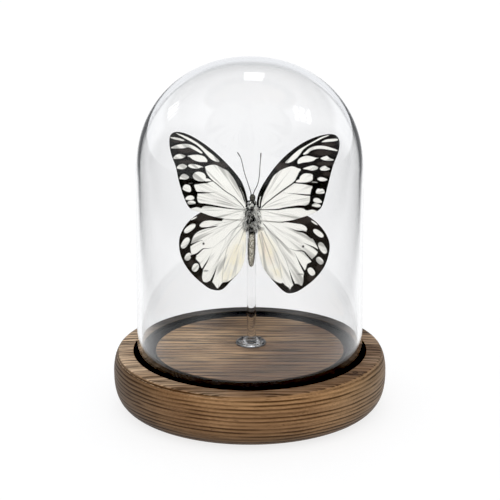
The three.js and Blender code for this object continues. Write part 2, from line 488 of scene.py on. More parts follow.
def oiledWood(base):
    look = woodLook
    material, shader = newMaterial("oiled oak", look["roughness"], look["specular"])
    place = placeInMm(material)
    axes = addNode(material, "ShaderNodeSeparateXYZ", {0: place}).outputs
    facing = addNode(material, "ShaderNodeNewGeometry").outputs["Normal"]
    facing = addNode(material, "ShaderNodeSeparateXYZ", {0: facing}).outputs
    onTop = spread(material, facing[2], 0.55, 0.85)
    flat = addNode(material, "ShaderNodeCombineXYZ", {0: axes[0], 1: axes[1]}).outputs[0]
    radius = addNode(material, "ShaderNodeVectorMath", {0: flat}, operation="LENGTH").outputs["Value"]

    # the layers, bent a little by slow noise and round the knot
    knotDistance = addNode(
        material, "ShaderNodeVectorMath", {0: place, 1: look["knot"]}, operation="DISTANCE"
    ).outputs["Value"]
    knot = spread(material, knotDistance, 0.0, look["knotSize"], 1.0, 0.0)
    drift = stretchedNoise(material, place, (0.011, 0.03, 0.035), 2)
    wander = stretchedNoise(material, place, (0.04, 0.10, 0.12), 2)
    bend = sums(material, "MULTIPLY_ADD", wander, 0.25, drift)
    bend = sums(material, "MULTIPLY_ADD", knot, 0.8, bend)
    rise = sums(material, "MULTIPLY_ADD", axes[1], look["tilt"], axes[2])
    sidePhase = sums(material, "DIVIDE", rise, look["sideSpacing"])
    sidePhase = sums(material, "MULTIPLY_ADD", bend, look["sideDrift"], sidePhase)
    topPhase = sums(material, "DIVIDE", axes[1], look["topSpacing"])
    topPhase = sums(material, "MULTIPLY_ADD", bend, look["topDrift"], topPhase)
    sideLine = ramp(material, sums(material, "FRACT", sidePhase), look["sideLine"])
    topLine = ramp(material, sums(material, "FRACT", topPhase), look["topLine"])

    # strength of the lines, streaks between them, pores and broad tone
    strength = stretchedNoise(material, place, (0.03, 0.05, 0.45), 2)
    sideLine = sums(material, "MULTIPLY", sideLine, spread(material, strength, 0.32, 0.6, 0.3, 1.0))
    fine = stretchedNoise(material, place, (0.03, 0.05, 1.9), 3, 0.6)
    sideLine = sums(material, "MAXIMUM", sideLine, spread(material, fine, 0.45, 0.75, 0.0, 0.5))
    patches = stretchedNoise(material, place, (0.035, 0.22, 0.1), 2)
    topLine = sums(material, "MULTIPLY", topLine, spread(material, patches, 0.3, 0.5, 0.45, 1.0))
    streaky = stretchedNoise(material, place, (0.030, 0.85, 0.4), 4, 0.62)
    topLine = sums(material, "MAXIMUM", topLine, spread(material, streaky, 0.48, 0.6, 0.0, 0.92))
    line = blend(material, onTop, sideLine, topLine)
    pores = spread(material, stretchedNoise(material, place, (0.16, 2.4, 2.4), 3, 0.6), 0.56, 0.74)
    fibre = stretchedNoise(material, place, (0.06, 1.7, 1.9), 4, 0.65)
    broad = stretchedNoise(material, place, (0.02, 0.05, 0.05), 2)
    topShare = sums(material, "MULTIPLY_ADD", axes[0], 0.0035, broad)
    topShare = sums(material, "MULTIPLY_ADD", axes[1], -0.004, topShare)
    topShare = spread(material, sums(material, "MULTIPLY_ADD", radius, -0.0042, topShare), 0.1, 0.46)
    # random tone on the side, with painted shade making the left side darker
    sideToneAndLeftShade = spread(material, sums(material, "MULTIPLY_ADD", axes[0], -0.006, broad), 0.3, 0.75)

    shades = []
    for key, share in (("side", sideToneAndLeftShade), ("top", topShare)):
        light, middle, dark = (tone(*shade) for shade in look[key])
        shades.append((blend(material, share, light, middle), dark))
    (sideWood, sideDark), (topWoodWithPaintedSheen, topDark) = shades
    # painted sheen and light: upward faces take the lighter top shades
    colour = blend(material, onTop, sideWood, topWoodWithPaintedSheen)
    fibreTone = ramp(material, fibre, [(0.3, 0.76), (0.7, 1.12)], "LINEAR")
    colour = blend(material, 1.0, colour, fibreTone, "MULTIPLY")
    colour = blend(material, line, colour, blend(material, onTop, sideDark, topDark))
    for spots, share in ((pores, look["poreShare"]), (knot, look["knotShare"])):
        colour = blend(material, sums(material, "MULTIPLY", spots, share), colour, tone(*look["pore"]))

    # darker end grain with painted shade on the sides, painted shade on the lower edge, painted sheen on
    # the rim's top, black channel, painted shade on the rim at the back
    # end grain, and painted shade on the sides facing left and right
    ends = spread(material, sums(material, "ABSOLUTE", facing[0]), 0.45, 0.95)
    endGrainAndSideShadeWood = blend(material, 1.0, colour, (*look["endGrainAndSideShade"], 1), "MULTIPLY")
    colour = blend(material, ends, colour, endGrainAndSideShadeWood)
    # painted shade on the surfaces that face downwards
    lowerEdgeShadeShare = spread(material, facing[2], -0.75, 0.05, 1.0, 0.0)
    low = look["lowerEdgeShade"]
    lowerEdgeShadedWood = blend(material, 1.0, colour, (low, low, low, 1), "MULTIPLY")
    colour = blend(material, lowerEdgeShadeShare, colour, lowerEdgeShadedWood)
    beyond = spread(material, axes[1], *look["backRimShadeFrom"])
    outside = spread(material, radius, base["channelOuter"], base["channelOuter"] + 0.4)
    # painted sheen on the rim's top, greying its colour
    rimTop = sums(material, "MULTIPLY", outside, onTop)
    rimSheenWood = blend(material, 1.0, colour, (*look["rimSheenTint"], 1), "MULTIPLY")
    colour = blend(material, rimTop, colour, rimSheenWood)
    # painted shade on the rim's top behind the dome
    backRimShadeShare = sums(material, "MULTIPLY", sums(material, "MULTIPLY", beyond, outside), onTop)
    colour = blend(material, sums(material, "MULTIPLY", backRimShadeShare, 0.9), colour, tone(*look["backRimShade"]))
    pastPlateau = spread(material, radius, base["plateauRadius"] - 0.3, base["plateauRadius"] - 0.2)
    channel = sums(material, "MULTIPLY", pastPlateau, sums(material, "SUBTRACT", 1.0, outside))
    colour = blend(material, channel, colour, tone(*look["channel"]))
    material.node_tree.links.new(colour, shader.inputs["Base Color"])

    height = sums(material, "MULTIPLY_ADD", line, -0.7, sums(material, "MULTIPLY", pores, -0.6))
    height = sums(material, "MULTIPLY_ADD", fibre, 0.5, height)
    addBump(material, shader, height, look["grainDepth"], 0.6)
    rough = sums(material, "MULTIPLY_ADD", line, 0.14, look["roughness"] - 0.05)
    rough = sums(material, "MULTIPLY_ADD", channel, 0.35, rough)
    material.node_tree.links.new(rough, shader.inputs["Roughness"])
    return material


def turnBase():
    base = woodenBase
    widest = (base["widestRadius"], base["widestHeight"])
    rimEdge = base["rimHeight"] - base["rimTopDrop"]
    below = roundedQuarter(widest, (base["footRadius"], 0), base["sideBelow"], 28)[::-1]
    above = roundedQuarter(
        widest, (base["rimEdgeRadius"], rimEdge - base["rimEdgeEase"]), base["sideAbove"], 22
    )[1:]
    edge = roundedQuarter(
        (base["rimEdgeRadius"], rimEdge - base["rimEdgeEase"]),
        (base["rimEdgeRadius"] - base["rimEdgeEase"], rimEdge), 2, 8,
    )[1:]
    inside = easeCorners([
        edge[-1],
        (base["channelOuter"], base["rimHeight"]),
        (base["channelOuter"], base["channelFloor"]),
        (base["plateauRadius"], base["channelFloor"]),
        (base["plateauRadius"], base["plateauHeight"]),
        (0, base["plateauHeight"]),
    ], [0, base["ease"], 0, 0, base["ease"], 0])[1:]
    outline = [(0, 0), *below, *above, *edge, *inside]
    mesh = meshFrom(turned(fillOut(outline, 4), base["around"]), "base")
    return finishPiece("turned_oak_base", mesh, [oiledWood(base)], "oiled_wood", "wooden_base")


turnBase()
print("wooden base turned")


# the black ring in the channel

ringLow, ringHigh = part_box("black_ring")
blackRing = {
    "inside": 42.15,
    "outside": ringHigh.x / mm,
    "floor": ringLow.z / mm,
    "innerHeight": ringHigh.z / mm,
    "outerHeight": 24.95,
    "grooveInside": 47.8,
    "grooveOutside": 50.2,
    "grooveFloor": 21.5,
    "ease": 0.45,
    "around": 192,
}
rubberLook = {"colour": (27, 27, 28), "dust": (42, 43, 45), "roughness": 0.85, "specular": 0.1}


def blackRubber():
    look = rubberLook
    material, shader = newMaterial("black rubber", look["roughness"], look["specular"])
    place = placeInMm(material)
    dust = spread(material, stretchedNoise(material, place, (0.25, 0.25, 0.6), 5, 0.6), 0.45, 0.8)
    colour = blend(material, dust, tone(*look["colour"]), tone(*look["dust"]))
    material.node_tree.links.new(colour, shader.inputs["Base Color"])
    grit = stretchedNoise(material, place, (5, 5, 5), 3)
    rough = spread(material, grit, 0.3, 0.7, look["roughness"] - 0.1, min(look["roughness"] + 0.1, 1.0))
    material.node_tree.links.new(rough, shader.inputs["Roughness"])
    addBump(material, shader, grit, 0.04, 0.5)
    return material


def mouldRing():
    ring = blackRing
    corners = [
        (ring["inside"], ring["floor"]),
        (ring["outside"], ring["floor"]),
        (ring["outside"], ring["outerHeight"]),
        (ring["grooveOutside"], ring["outerHeight"]),
        (ring["grooveOutside"], ring["grooveFloor"]),
        (ring["grooveInside"], ring["grooveFloor"]),
        (ring["grooveInside"], ring["innerHeight"]),
        (ring["inside"], ring["innerHeight"]),
    ]
    ease = ring["ease"]
    outline = easeCorners(corners, [0, 0, ease, ease, 0, 0, 1.6 * ease, ease], 5)
    mesh = meshFrom(turned(outline, ring["around"], closed=True), "ring")
    return finishPiece("seat_ring", mesh, [blackRubber()], "black_rubber", "black_ring")


mouldRing()
print("ring moulded")


# the glass dome

domeLow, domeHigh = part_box("glass_dome")
glassDome = {
    "radius": domeHigh.x / mm,
    "wall": 2,
    "crownWall": 2.4,
    "floor": domeLow.z / mm,
    "shoulder": 108,
    "top": domeHigh.z / mm,
    "roundness": 2.14,
    "lip": 0.8,
    "around": 224,
    "waver": 0.05,            # the blown glass is uneven by this much
}
glassLook = {"ior": 1.5, "tint": (0.896, 0.900, 0.912), "density": 82.0}
acrylicLook = {"ior": 1.49, "tint": (0.90, 0.90, 0.90), "density": 40.0}


def clearMaterial(name, look):
    material, shader = newMaterial(name, 0.0)
    shader.inputs["Base Color"].default_value = (1, 1, 1, 1)
    shader.inputs["Transmission Weight"].default_value = 1.0
    shader.inputs["IOR"].default_value = look["ior"]
    absorption = addNode(material, "ShaderNodeVolumeAbsorption")
    absorption.inputs["Color"].default_value = (*look["tint"], 1)
    absorption.inputs["Density"].default_value = look["density"]
    output = material.node_tree.nodes["Material Output"]
    material.node_tree.links.new(absorption.outputs[0], output.inputs["Volume"])
    return material


def blowDome():
    dome = glassDome
    inner = dome["radius"] - dome["wall"]
    innerCap = roundedQuarter(
        (inner, dome["shoulder"]), (0, dome["top"] - dome["crownWall"]), dome["roundness"], 40
    )[::-1]
    outerCap = roundedQuarter(
        (dome["radius"], dome["shoulder"]), (0, dome["top"]), dome["roundness"], 40
    )
    foot = easeCorners([
        innerCap[-1], (inner, dome["floor"]), (dome["radius"], dome["floor"]), outerCap[0],
    ], [0, dome["lip"], dome["lip"], 0], 6)[1:-1]
    outline = fillOut([*innerCap, *foot, *outerCap], 3)
    bm = turned(outline, dome["around"])
    for vert in bm.verts:
        point = vert.co / mm
        radius = math.hypot(point.x, point.y)
        if radius < 1e-6:
            continue
        lump = noise.noise(Vector((point.x * 0.05, point.y * 0.05, point.z * 0.03)))
        ring = noise.noise(Vector((point.x * 0.01, point.y * 0.01, point.z * 0.16 + 7)))
        inward = dome["waver"] * (0.5 + 0.35 * lump + 0.35 * ring)
        shift = 1 - inward / max(radius, 12)
        vert.co.x *= shift
        vert.co.y *= shift
    mesh = meshFrom(bm, "dome", 80)
    return finishPiece("blown_glass_dome", mesh, [clearMaterial("dome glass", glassLook)],
                       "dome_glass", "glass_dome")


leaveOut(key, [blowDome()], [floor])
print("dome blown")


# the clear rod and its foot

rodLow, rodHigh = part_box("clear_rod")
footLow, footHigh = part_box("rod_foot")
clearRod = {
    "centre": ((rodLow.x + rodHigh.x) / 2 / mm, (rodLow.y + rodHigh.y) / 2 / mm),
    "radius": (rodHigh.x - rodLow.x) / 2 / mm,
    "floor": rodLow.z / mm,
    "top": rodHigh.z / mm,
    "ease": 0.25,
    "around": 96,
}
rodFoot = {
    "centre": ((footLow.x + footHigh.x) / 2 / mm, (footLow.y + footHigh.y) / 2 / mm),
    "radius": (footHigh.x - footLow.x) / 2 / mm,
    "floor": footLow.z / mm,
    "height": (footHigh.z - footLow.z) / mm,
    "bead": 1.25,             # height of the rounded outer bead
    "beadWidth": 2.0,
    "dip": 0.75,
    "bossRadius": 3.3,
    "socketRadius": 2.35,
    "socketFloor": 0.8,
    "hollowRadius": 5.6,      # the underside is hollowed by this much
    "hollow": 0.3,
    "around": 96,
}


def makeRod(material):
    rod = clearRod
    ease = rod["ease"]
    outline = easeCorners([
        (0, rod["floor"]), (rod["radius"], rod["floor"]), (rod["radius"], rod["top"]), (0, rod["top"]),
    ], [0, ease, ease, 0])
    mesh = meshFrom(turned(fillOut(outline, 2), rod["around"], rod["centre"]), "rod")
    return finishPiece("acrylic_rod", mesh, [material], "clear_acrylic", "clear_rod")


def makeFoot(material):
    foot = rodFoot
    low = foot["floor"]
    radius = foot["radius"]
    boss = foot["bossRadius"]
    half = foot["beadWidth"] / 2
    underside = []
    for step in range(7):
        share = step / 6
        underside.append((foot["hollowRadius"] * share, low + foot["hollow"] * (1 - share ** 2)))
    bead = []
    for step in range(15):
        angle = step / 14 * math.pi
        base = 0 if step < 7 else foot["dip"]
        bead.append((radius - half + half * math.cos(angle),
                     low + base + (foot["bead"] - base) * math.sin(angle)))
    slope = []
    for step in range(1, 9):
        angle = step / 8 * math.pi / 2
        across = radius - foot["beadWidth"] - boss
        slope.append((boss + across * (1 - math.sin(angle)),
                      low + foot["dip"] + (foot["height"] - foot["dip"]) * (1 - math.cos(angle))))
    top = easeCorners([
        slope[-1],
        (foot["socketRadius"], low + foot["height"]),
        (foot["socketRadius"], low + foot["socketFloor"]),
        (0, low + foot["socketFloor"]),
    ], [0, 0.2, 0.1, 0])
    outline = [*underside, *bead, *slope[:-1], *top]
    mesh = meshFrom(turned(outline, foot["around"], foot["centre"]), "foot", 50)
    return finishPiece("acrylic_foot", mesh, [material], "clear_acrylic", "rod_foot")


acrylic = clearMaterial("clear acrylic", acrylicLook)
makeRod(acrylic)
makeFoot(acrylic)
print("rod and foot made")


# the butterfly: every x and z is in mm from the middle of the thorax

butterfly = {
    "middle": (0.8, 1.4, 88.6),
    "bodyOffset": 0.3,
    "bodyLean": 1.1,          # degrees
    "depthRatio": 0.96,
    "foreDepth": -1.0,        # the sheets' places in front of the body's middle
    "hindDepth": -0.3,
    "bow": -0.9,              # the wings come forward by this much at bowReach
    "bowReach": 36,
    "ripple": 0.22,
    "sheet": 0.14,            # thickness of a wing
    "spacing": 0.24,          # of the points in a wing
    "straightFrom": 3.6,      # a longer edge of the CAD outline is straight
    "veinHeight": 0.07,
    "pleat": 0.05,
}
wingLook = {
    "white": (243, 242, 236),
    "black": (23, 22, 20),
    "brown": (55, 50, 47),    # where the black is worn thin
    "grey": (152, 151, 146),
    "cream": (240, 233, 207),
    "peach": (227, 208, 188),
    "greyShare": 0.72,        # how strong the grey streaks are
    "underside": 0.86,        # its white against the upper side's
    "roughness": 0.72,
    "specular": 0.25,
    "relief": 0.05,           # mm
}


def between(p0, p1, p2, p3, t):    # on a smooth curve through four points, from p1 to p2
    return 0.5 * (2 * p1 + (p2 - p0) * t + (2 * p0 - 5 * p1 + 4 * p2 - p3) * t ** 2
                  + (3 * p1 - p0 - 3 * p2 + p3) * t ** 3)


def smoothPath(points, closed=False, steps=5):
    count = len(points)
    pts = np.array(points, float)
    curve = []
    for i in range(count if closed else count - 1):
        if closed:
            p0, p1, p2, p3 = (pts[(i + k) % count] for k in (-1, 0, 1, 2))
        else:
            p0, p1, p2, p3 = (pts[min(max(i + k, 0), count - 1)] for k in (-1, 0, 1, 2))
        for step in range(steps):
            curve.append(between(p0, p1, p2, p3, step / steps))
    if not closed:
        curve.append(pts[-1])
    return np.array(curve)


# distance of each point to the path, and how far along the path that is
def nearestOnPath(points, path):
    starts, ends = path[:-1], path[1:]
    lengths = np.linalg.norm(ends - starts, axis=1)
    reach = np.concatenate([[0], np.cumsum(lengths)])
    best = np.full(len(points), 1e9)
    along = np.zeros(len(points))
    for start, end, length, before in zip(starts, ends, lengths, reach):
        if length < 1e-9:
            continue
        t = np.clip(((points - start) @ (end - start)) / length ** 2, 0, 1)
        gap = np.linalg.norm(points - (start + t[:, None] * (end - start)), axis=1)
        closer = gap < best
        best[closer] = gap[closer]
        along[closer] = (before + t[closer] * length) / reach[-1]
    return best, along


def depthInside(points, loop):    # distance to a closed outline, positive inside it
    closed = np.vstack([loop, loop[:1]])
    gap, _ = nearestOnPath(points, closed)
    inside = np.zeros(len(points), bool)
    for start, end in zip(closed[:-1], closed[1:]):
        crosses = (start[1] > points[:, 1]) != (end[1] > points[:, 1])
        rise = end[1] - start[1] if abs(end[1] - start[1]) > 1e-12 else 1e-12
        side = (end[0] - start[0]) * (points[:, 1] - start[1]) / rise + start[0]
        inside ^= crosses & (points[:, 0] < side)
    return np.where(inside, gap, -gap)


def ease(values, low, high):
    t = np.clip((values - low) / (high - low), 0, 1)
    return t * t * (3 - 2 * t)


def frontOutline(node):    # the edge of a CAD wing's front face
    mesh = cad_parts[node].data
    middle = butterfly["middle"]
    front = min(vert.co.y for vert in mesh.vertices)
    edges = {}
    for polygon in mesh.polygons:
        corners = [mesh.vertices[i].co for i in polygon.vertices]
        if max(corner.y for corner in corners) > front + 0.01 * mm:
            continue
        names = []
        for corner in corners:
            names.append((round(corner.x / mm - middle[0], 3), round(corner.z / mm - middle[2], 3)))
        for a, b in zip(names, names[1:] + names[:1]):
            if (b, a) in edges:
                del edges[(b, a)]
            else:
                edges[(a, b)] = True
    following = dict(edges.keys())
    start = min(following)
    loop = [start]
    while following[loop[-1]] != start:
        loop.append(following[loop[-1]])
    return np.array(loop)


# points at even gaps round a loop, on a smooth curve except along its one long straight side
def evenLoop(loop, gap):
    count = len(loop)
    points = []
    for i in range(count):
        p0, p1, p2, p3 = (loop[(i + k) % count] for k in (-1, 0, 1, 2))
        length = np.linalg.norm(p2 - p1)
        longest = max(length, np.linalg.norm(p1 - p0), np.linalg.norm(p3 - p2))
        steps = max(1, round(length / gap))
        for step in range(steps):
            t = step / steps
            if longest > butterfly["straightFrom"]:
                points.append(p1 + (p2 - p1) * t)
            else:
                points.append(between(p0, p1, p2, p3, t))
    return np.array(points)


def wingBow(x, z):    # all four wings bend alike, so none cuts another
    out = abs(x) / butterfly["bowReach"]
    ripple = butterfly["ripple"] * math.sin(x * 0.16 + 0.5) * math.sin(z * 0.11)
    return butterfly["bow"] * out ** 2 + ripple * min(out * 2, 1)


def sheetPoints(outline, gap):
    edge = evenLoop(outline, gap)
    low, high = edge.min(axis=0), edge.max(axis=0)
    rowGap = gap * math.sqrt(3) / 2
    inner = []
    for row in range(int((high[1] - low[1]) / rowGap) + 1):
        shift = gap / 2 if row % 2 else 0
        for column in range(int((high[0] - low[0]) / gap) + 1):
            inner.append((low[0] + column * gap + shift, low[1] + row * rowGap))
    inner = np.array(inner)
    return edge, inner[depthInside(inner, edge) > gap * 0.55]


def paint(points, wing):    # shares of black, cream and the rest at each point of a wing
    pale = np.zeros(len(points))
    for outline in wing["pale"].values():
        depth = depthInside(points, smoothPath(outline, closed=True))
        pale = np.maximum(pale, ease(depth, -0.14, 0.16))
    for x, z, length, width, angle in wing.get("spots", ()):
        turn = math.radians(angle)
        dx, dz = points[:, 0] - x, points[:, 1] - z
        across = (dx * math.cos(turn) + dz * math.sin(turn)) / length
        up = (dz * math.cos(turn) - dx * math.sin(turn)) / width
        size = (np.abs(across) ** 2.3 + np.abs(up) ** 2.3) ** (1 / 2.3)
        pale = np.maximum(pale, ease(1 - size, -0.12, 0.12))
    for path, width, share in wing.get("paleLines", ()):
        gap, _ = nearestOnPath(points, smoothPath(path))
        pale = np.maximum(pale, share * ease(width / 2 - gap, -0.1, 0.1))
    black = 1 - pale
    ridge = np.zeros(len(points))
    for path, widths, shares in wing["veins"]:
        gap, along = nearestOnPath(points, smoothPath(path))
        width = widths[1] + (widths[0] - widths[1]) * (1 - along) ** 1.5
        share = np.minimum((shares[0] + (shares[1] - shares[0]) * along) * 1.35, 1)
        black = np.maximum(black, share * ease(width / 2 - gap, -0.14, 0.11))
        ridge = np.maximum(ridge, ease(0.32 - gap, 0, 0.32))
    for x, z, width, height, share in wing.get("smudges", ()):
        size = np.hypot((points[:, 0] - x) / width, (points[:, 1] - z) / height)
        black = np.maximum(black, share * ease(1 - size, -0.3, 0.6))
    worn = np.full(len(points), wing.get("fade", 0.0))
    for x, z, width, height in wing.get("worn", ()):
        size = np.hypot((points[:, 0] - x) / width, (points[:, 1] - z) / height)
        worn = np.maximum(worn, ease(1 - size, -0.1, 0.5))
    tints = {}
    for key in ("cream", "peach"):
        tint = np.zeros(len(points))
        for outline, soft, share in wing.get(key, ()):
            depth = depthInside(points, smoothPath(outline, closed=True))
            tint = np.maximum(tint, share * ease(depth, -soft, soft))
        tints[key] = tint
    return {"black": black, "worn": worn, "ridge": ridge, **tints}


def streaks(points, root):    # fine streaks that run out from the wing's root
    found = []
    for x, z in points:
        dx, dz = x - root[0], z - root[1]
        angle = math.atan2(dz, dx)
        reach = math.hypot(dx, dz)
        fine = noise.noise(Vector((angle * 26, reach * 0.10, root[0])))
        broad = noise.noise(Vector((angle * 9, reach * 0.05, root[1] + 5)))
        found.append(0.5 + 0.5 * (0.6 * fine + 0.5 * broad))
    return np.array(found)


def wingMaterial(name, whiteness):
    look = wingLook
    material, shader = newMaterial(name, look["roughness"], look["specular"])
    shader.inputs["Sheen Weight"].default_value = 0.15
    shader.inputs["Sheen Roughness"].default_value = 0.4
    place = placeInMm(material)
    read = {
        key: addNode(material, "ShaderNodeAttribute", attribute_name=key).outputs["Fac"]
        for key in ("black", "worn", "cream", "peach", "streak")
    }
    scales = stretchedNoise(material, place, (4.5, 4.5, 4.5), 3, 0.7)
    patches = stretchedNoise(material, place, (0.55, 0.55, 0.55), 3, 0.6)
    white = blend(material, 1.0, tone(*look["white"]), (whiteness, whiteness, whiteness, 1), "MULTIPLY")
    cloudy = stretchedNoise(material, place, (0.16, 0.16, 0.11), 3, 0.6)
    creamy = sums(material, "MULTIPLY", spread(material, read["streak"], 0.72, 0.38, 0.3, 1.0),
                  spread(material, cloudy, 0.36, 0.6, 0.35, 1.0))
    pale = blend(material, sums(material, "MULTIPLY", read["cream"], creamy), white, tone(*look["cream"]))
    peachy = sums(material, "MULTIPLY", spread(material, read["streak"], 0.35, 0.6, 0.3, 1.0),
                  spread(material, cloudy, 0.62, 0.4, 0.25, 1.0))
    pale = blend(material, sums(material, "MULTIPLY", read["peach"], peachy), pale, tone(*look["peach"]))
    streaky = spread(material, read["streak"], 0.48, 0.76)
    greyShare = sums(material, "MULTIPLY", streaky, look["greyShare"])
    pale = blend(material, greyShare, pale, tone(*look["grey"]))
    grain = ramp(material, scales, [(0.25, 0.93), (0.75, 1.04)], "LINEAR")
    pale = blend(material, 1.0, pale, grain, "MULTIPLY")
    thin = spread(material, patches, 0.45, 0.75, 0.0, 0.3)
    brownShare = sums(material, "MAXIMUM", read["worn"], thin)
    dark = blend(material, brownShare, tone(*look["black"]), tone(*look["brown"]))
    ragged = sums(material, "MULTIPLY_ADD", sums(material, "SUBTRACT", scales, 0.5), 0.25, read["black"])
    share = spread(material, ragged, 0.06, 0.94)
    colour = blend(material, share, pale, dark)
    material.node_tree.links.new(colour, shader.inputs["Base Color"])
    height = sums(material, "MULTIPLY_ADD", scales, 0.6, sums(material, "MULTIPLY", read["streak"], 0.8))
    addBump(material, shader, height, look["relief"], 0.6)
    return material


def makeWing(wing, depth, materials):
    node = wing["node"]
    middle = Vector(butterfly["middle"])
    edge, inner = sheetPoints(frontOutline(node), butterfly["spacing"])
    flat = [Vector(point) for point in np.vstack([edge, inner])]
    rim = [(i, (i + 1) % len(edge)) for i in range(len(edge))]
    points, _, faces, *_ = geometry.delaunay_2d_cdt(flat, rim, [], 1, 1e-5)
    points = np.array([tuple(point) for point in points])
    shares = paint(points, wing)
    shares["streak"] = streaks(points, wing["root"])
    mesh = bpy.data.meshes.new(node + "_sheet")
    places = []
    for (x, z), ridge, streak in zip(points, shares["ridge"], shares["streak"]):
        lift = butterfly["veinHeight"] * ridge + butterfly["pleat"] * (streak - 0.5)
        y = depth + wingBow(x, z) - lift
        places.append((middle + Vector((x, y, z))) * mm)
    mesh.from_pydata(places, [], [tuple(face) for face in faces])
    if mesh.polygons[0].normal.y > 0:
        mesh.flip_normals()
    for polygon in mesh.polygons:
        polygon.use_smooth = True
    for key, values in shares.items():
        if key == "ridge":
            continue
        attribute = mesh.attributes.new(key, "FLOAT", "POINT")
        attribute.data.foreach_set("value", values.astype(np.float32))
    piece = finishPiece(node.replace("_", "_patterned_"), mesh, materials, "wing_membrane", node)
    shell = piece.modifiers.new("sheet thickness", "SOLIDIFY")
    shell.thickness = butterfly["sheet"] * mm
    shell.offset = 0
    shell.material_offset = 1
    return piece


# the wings' patterns

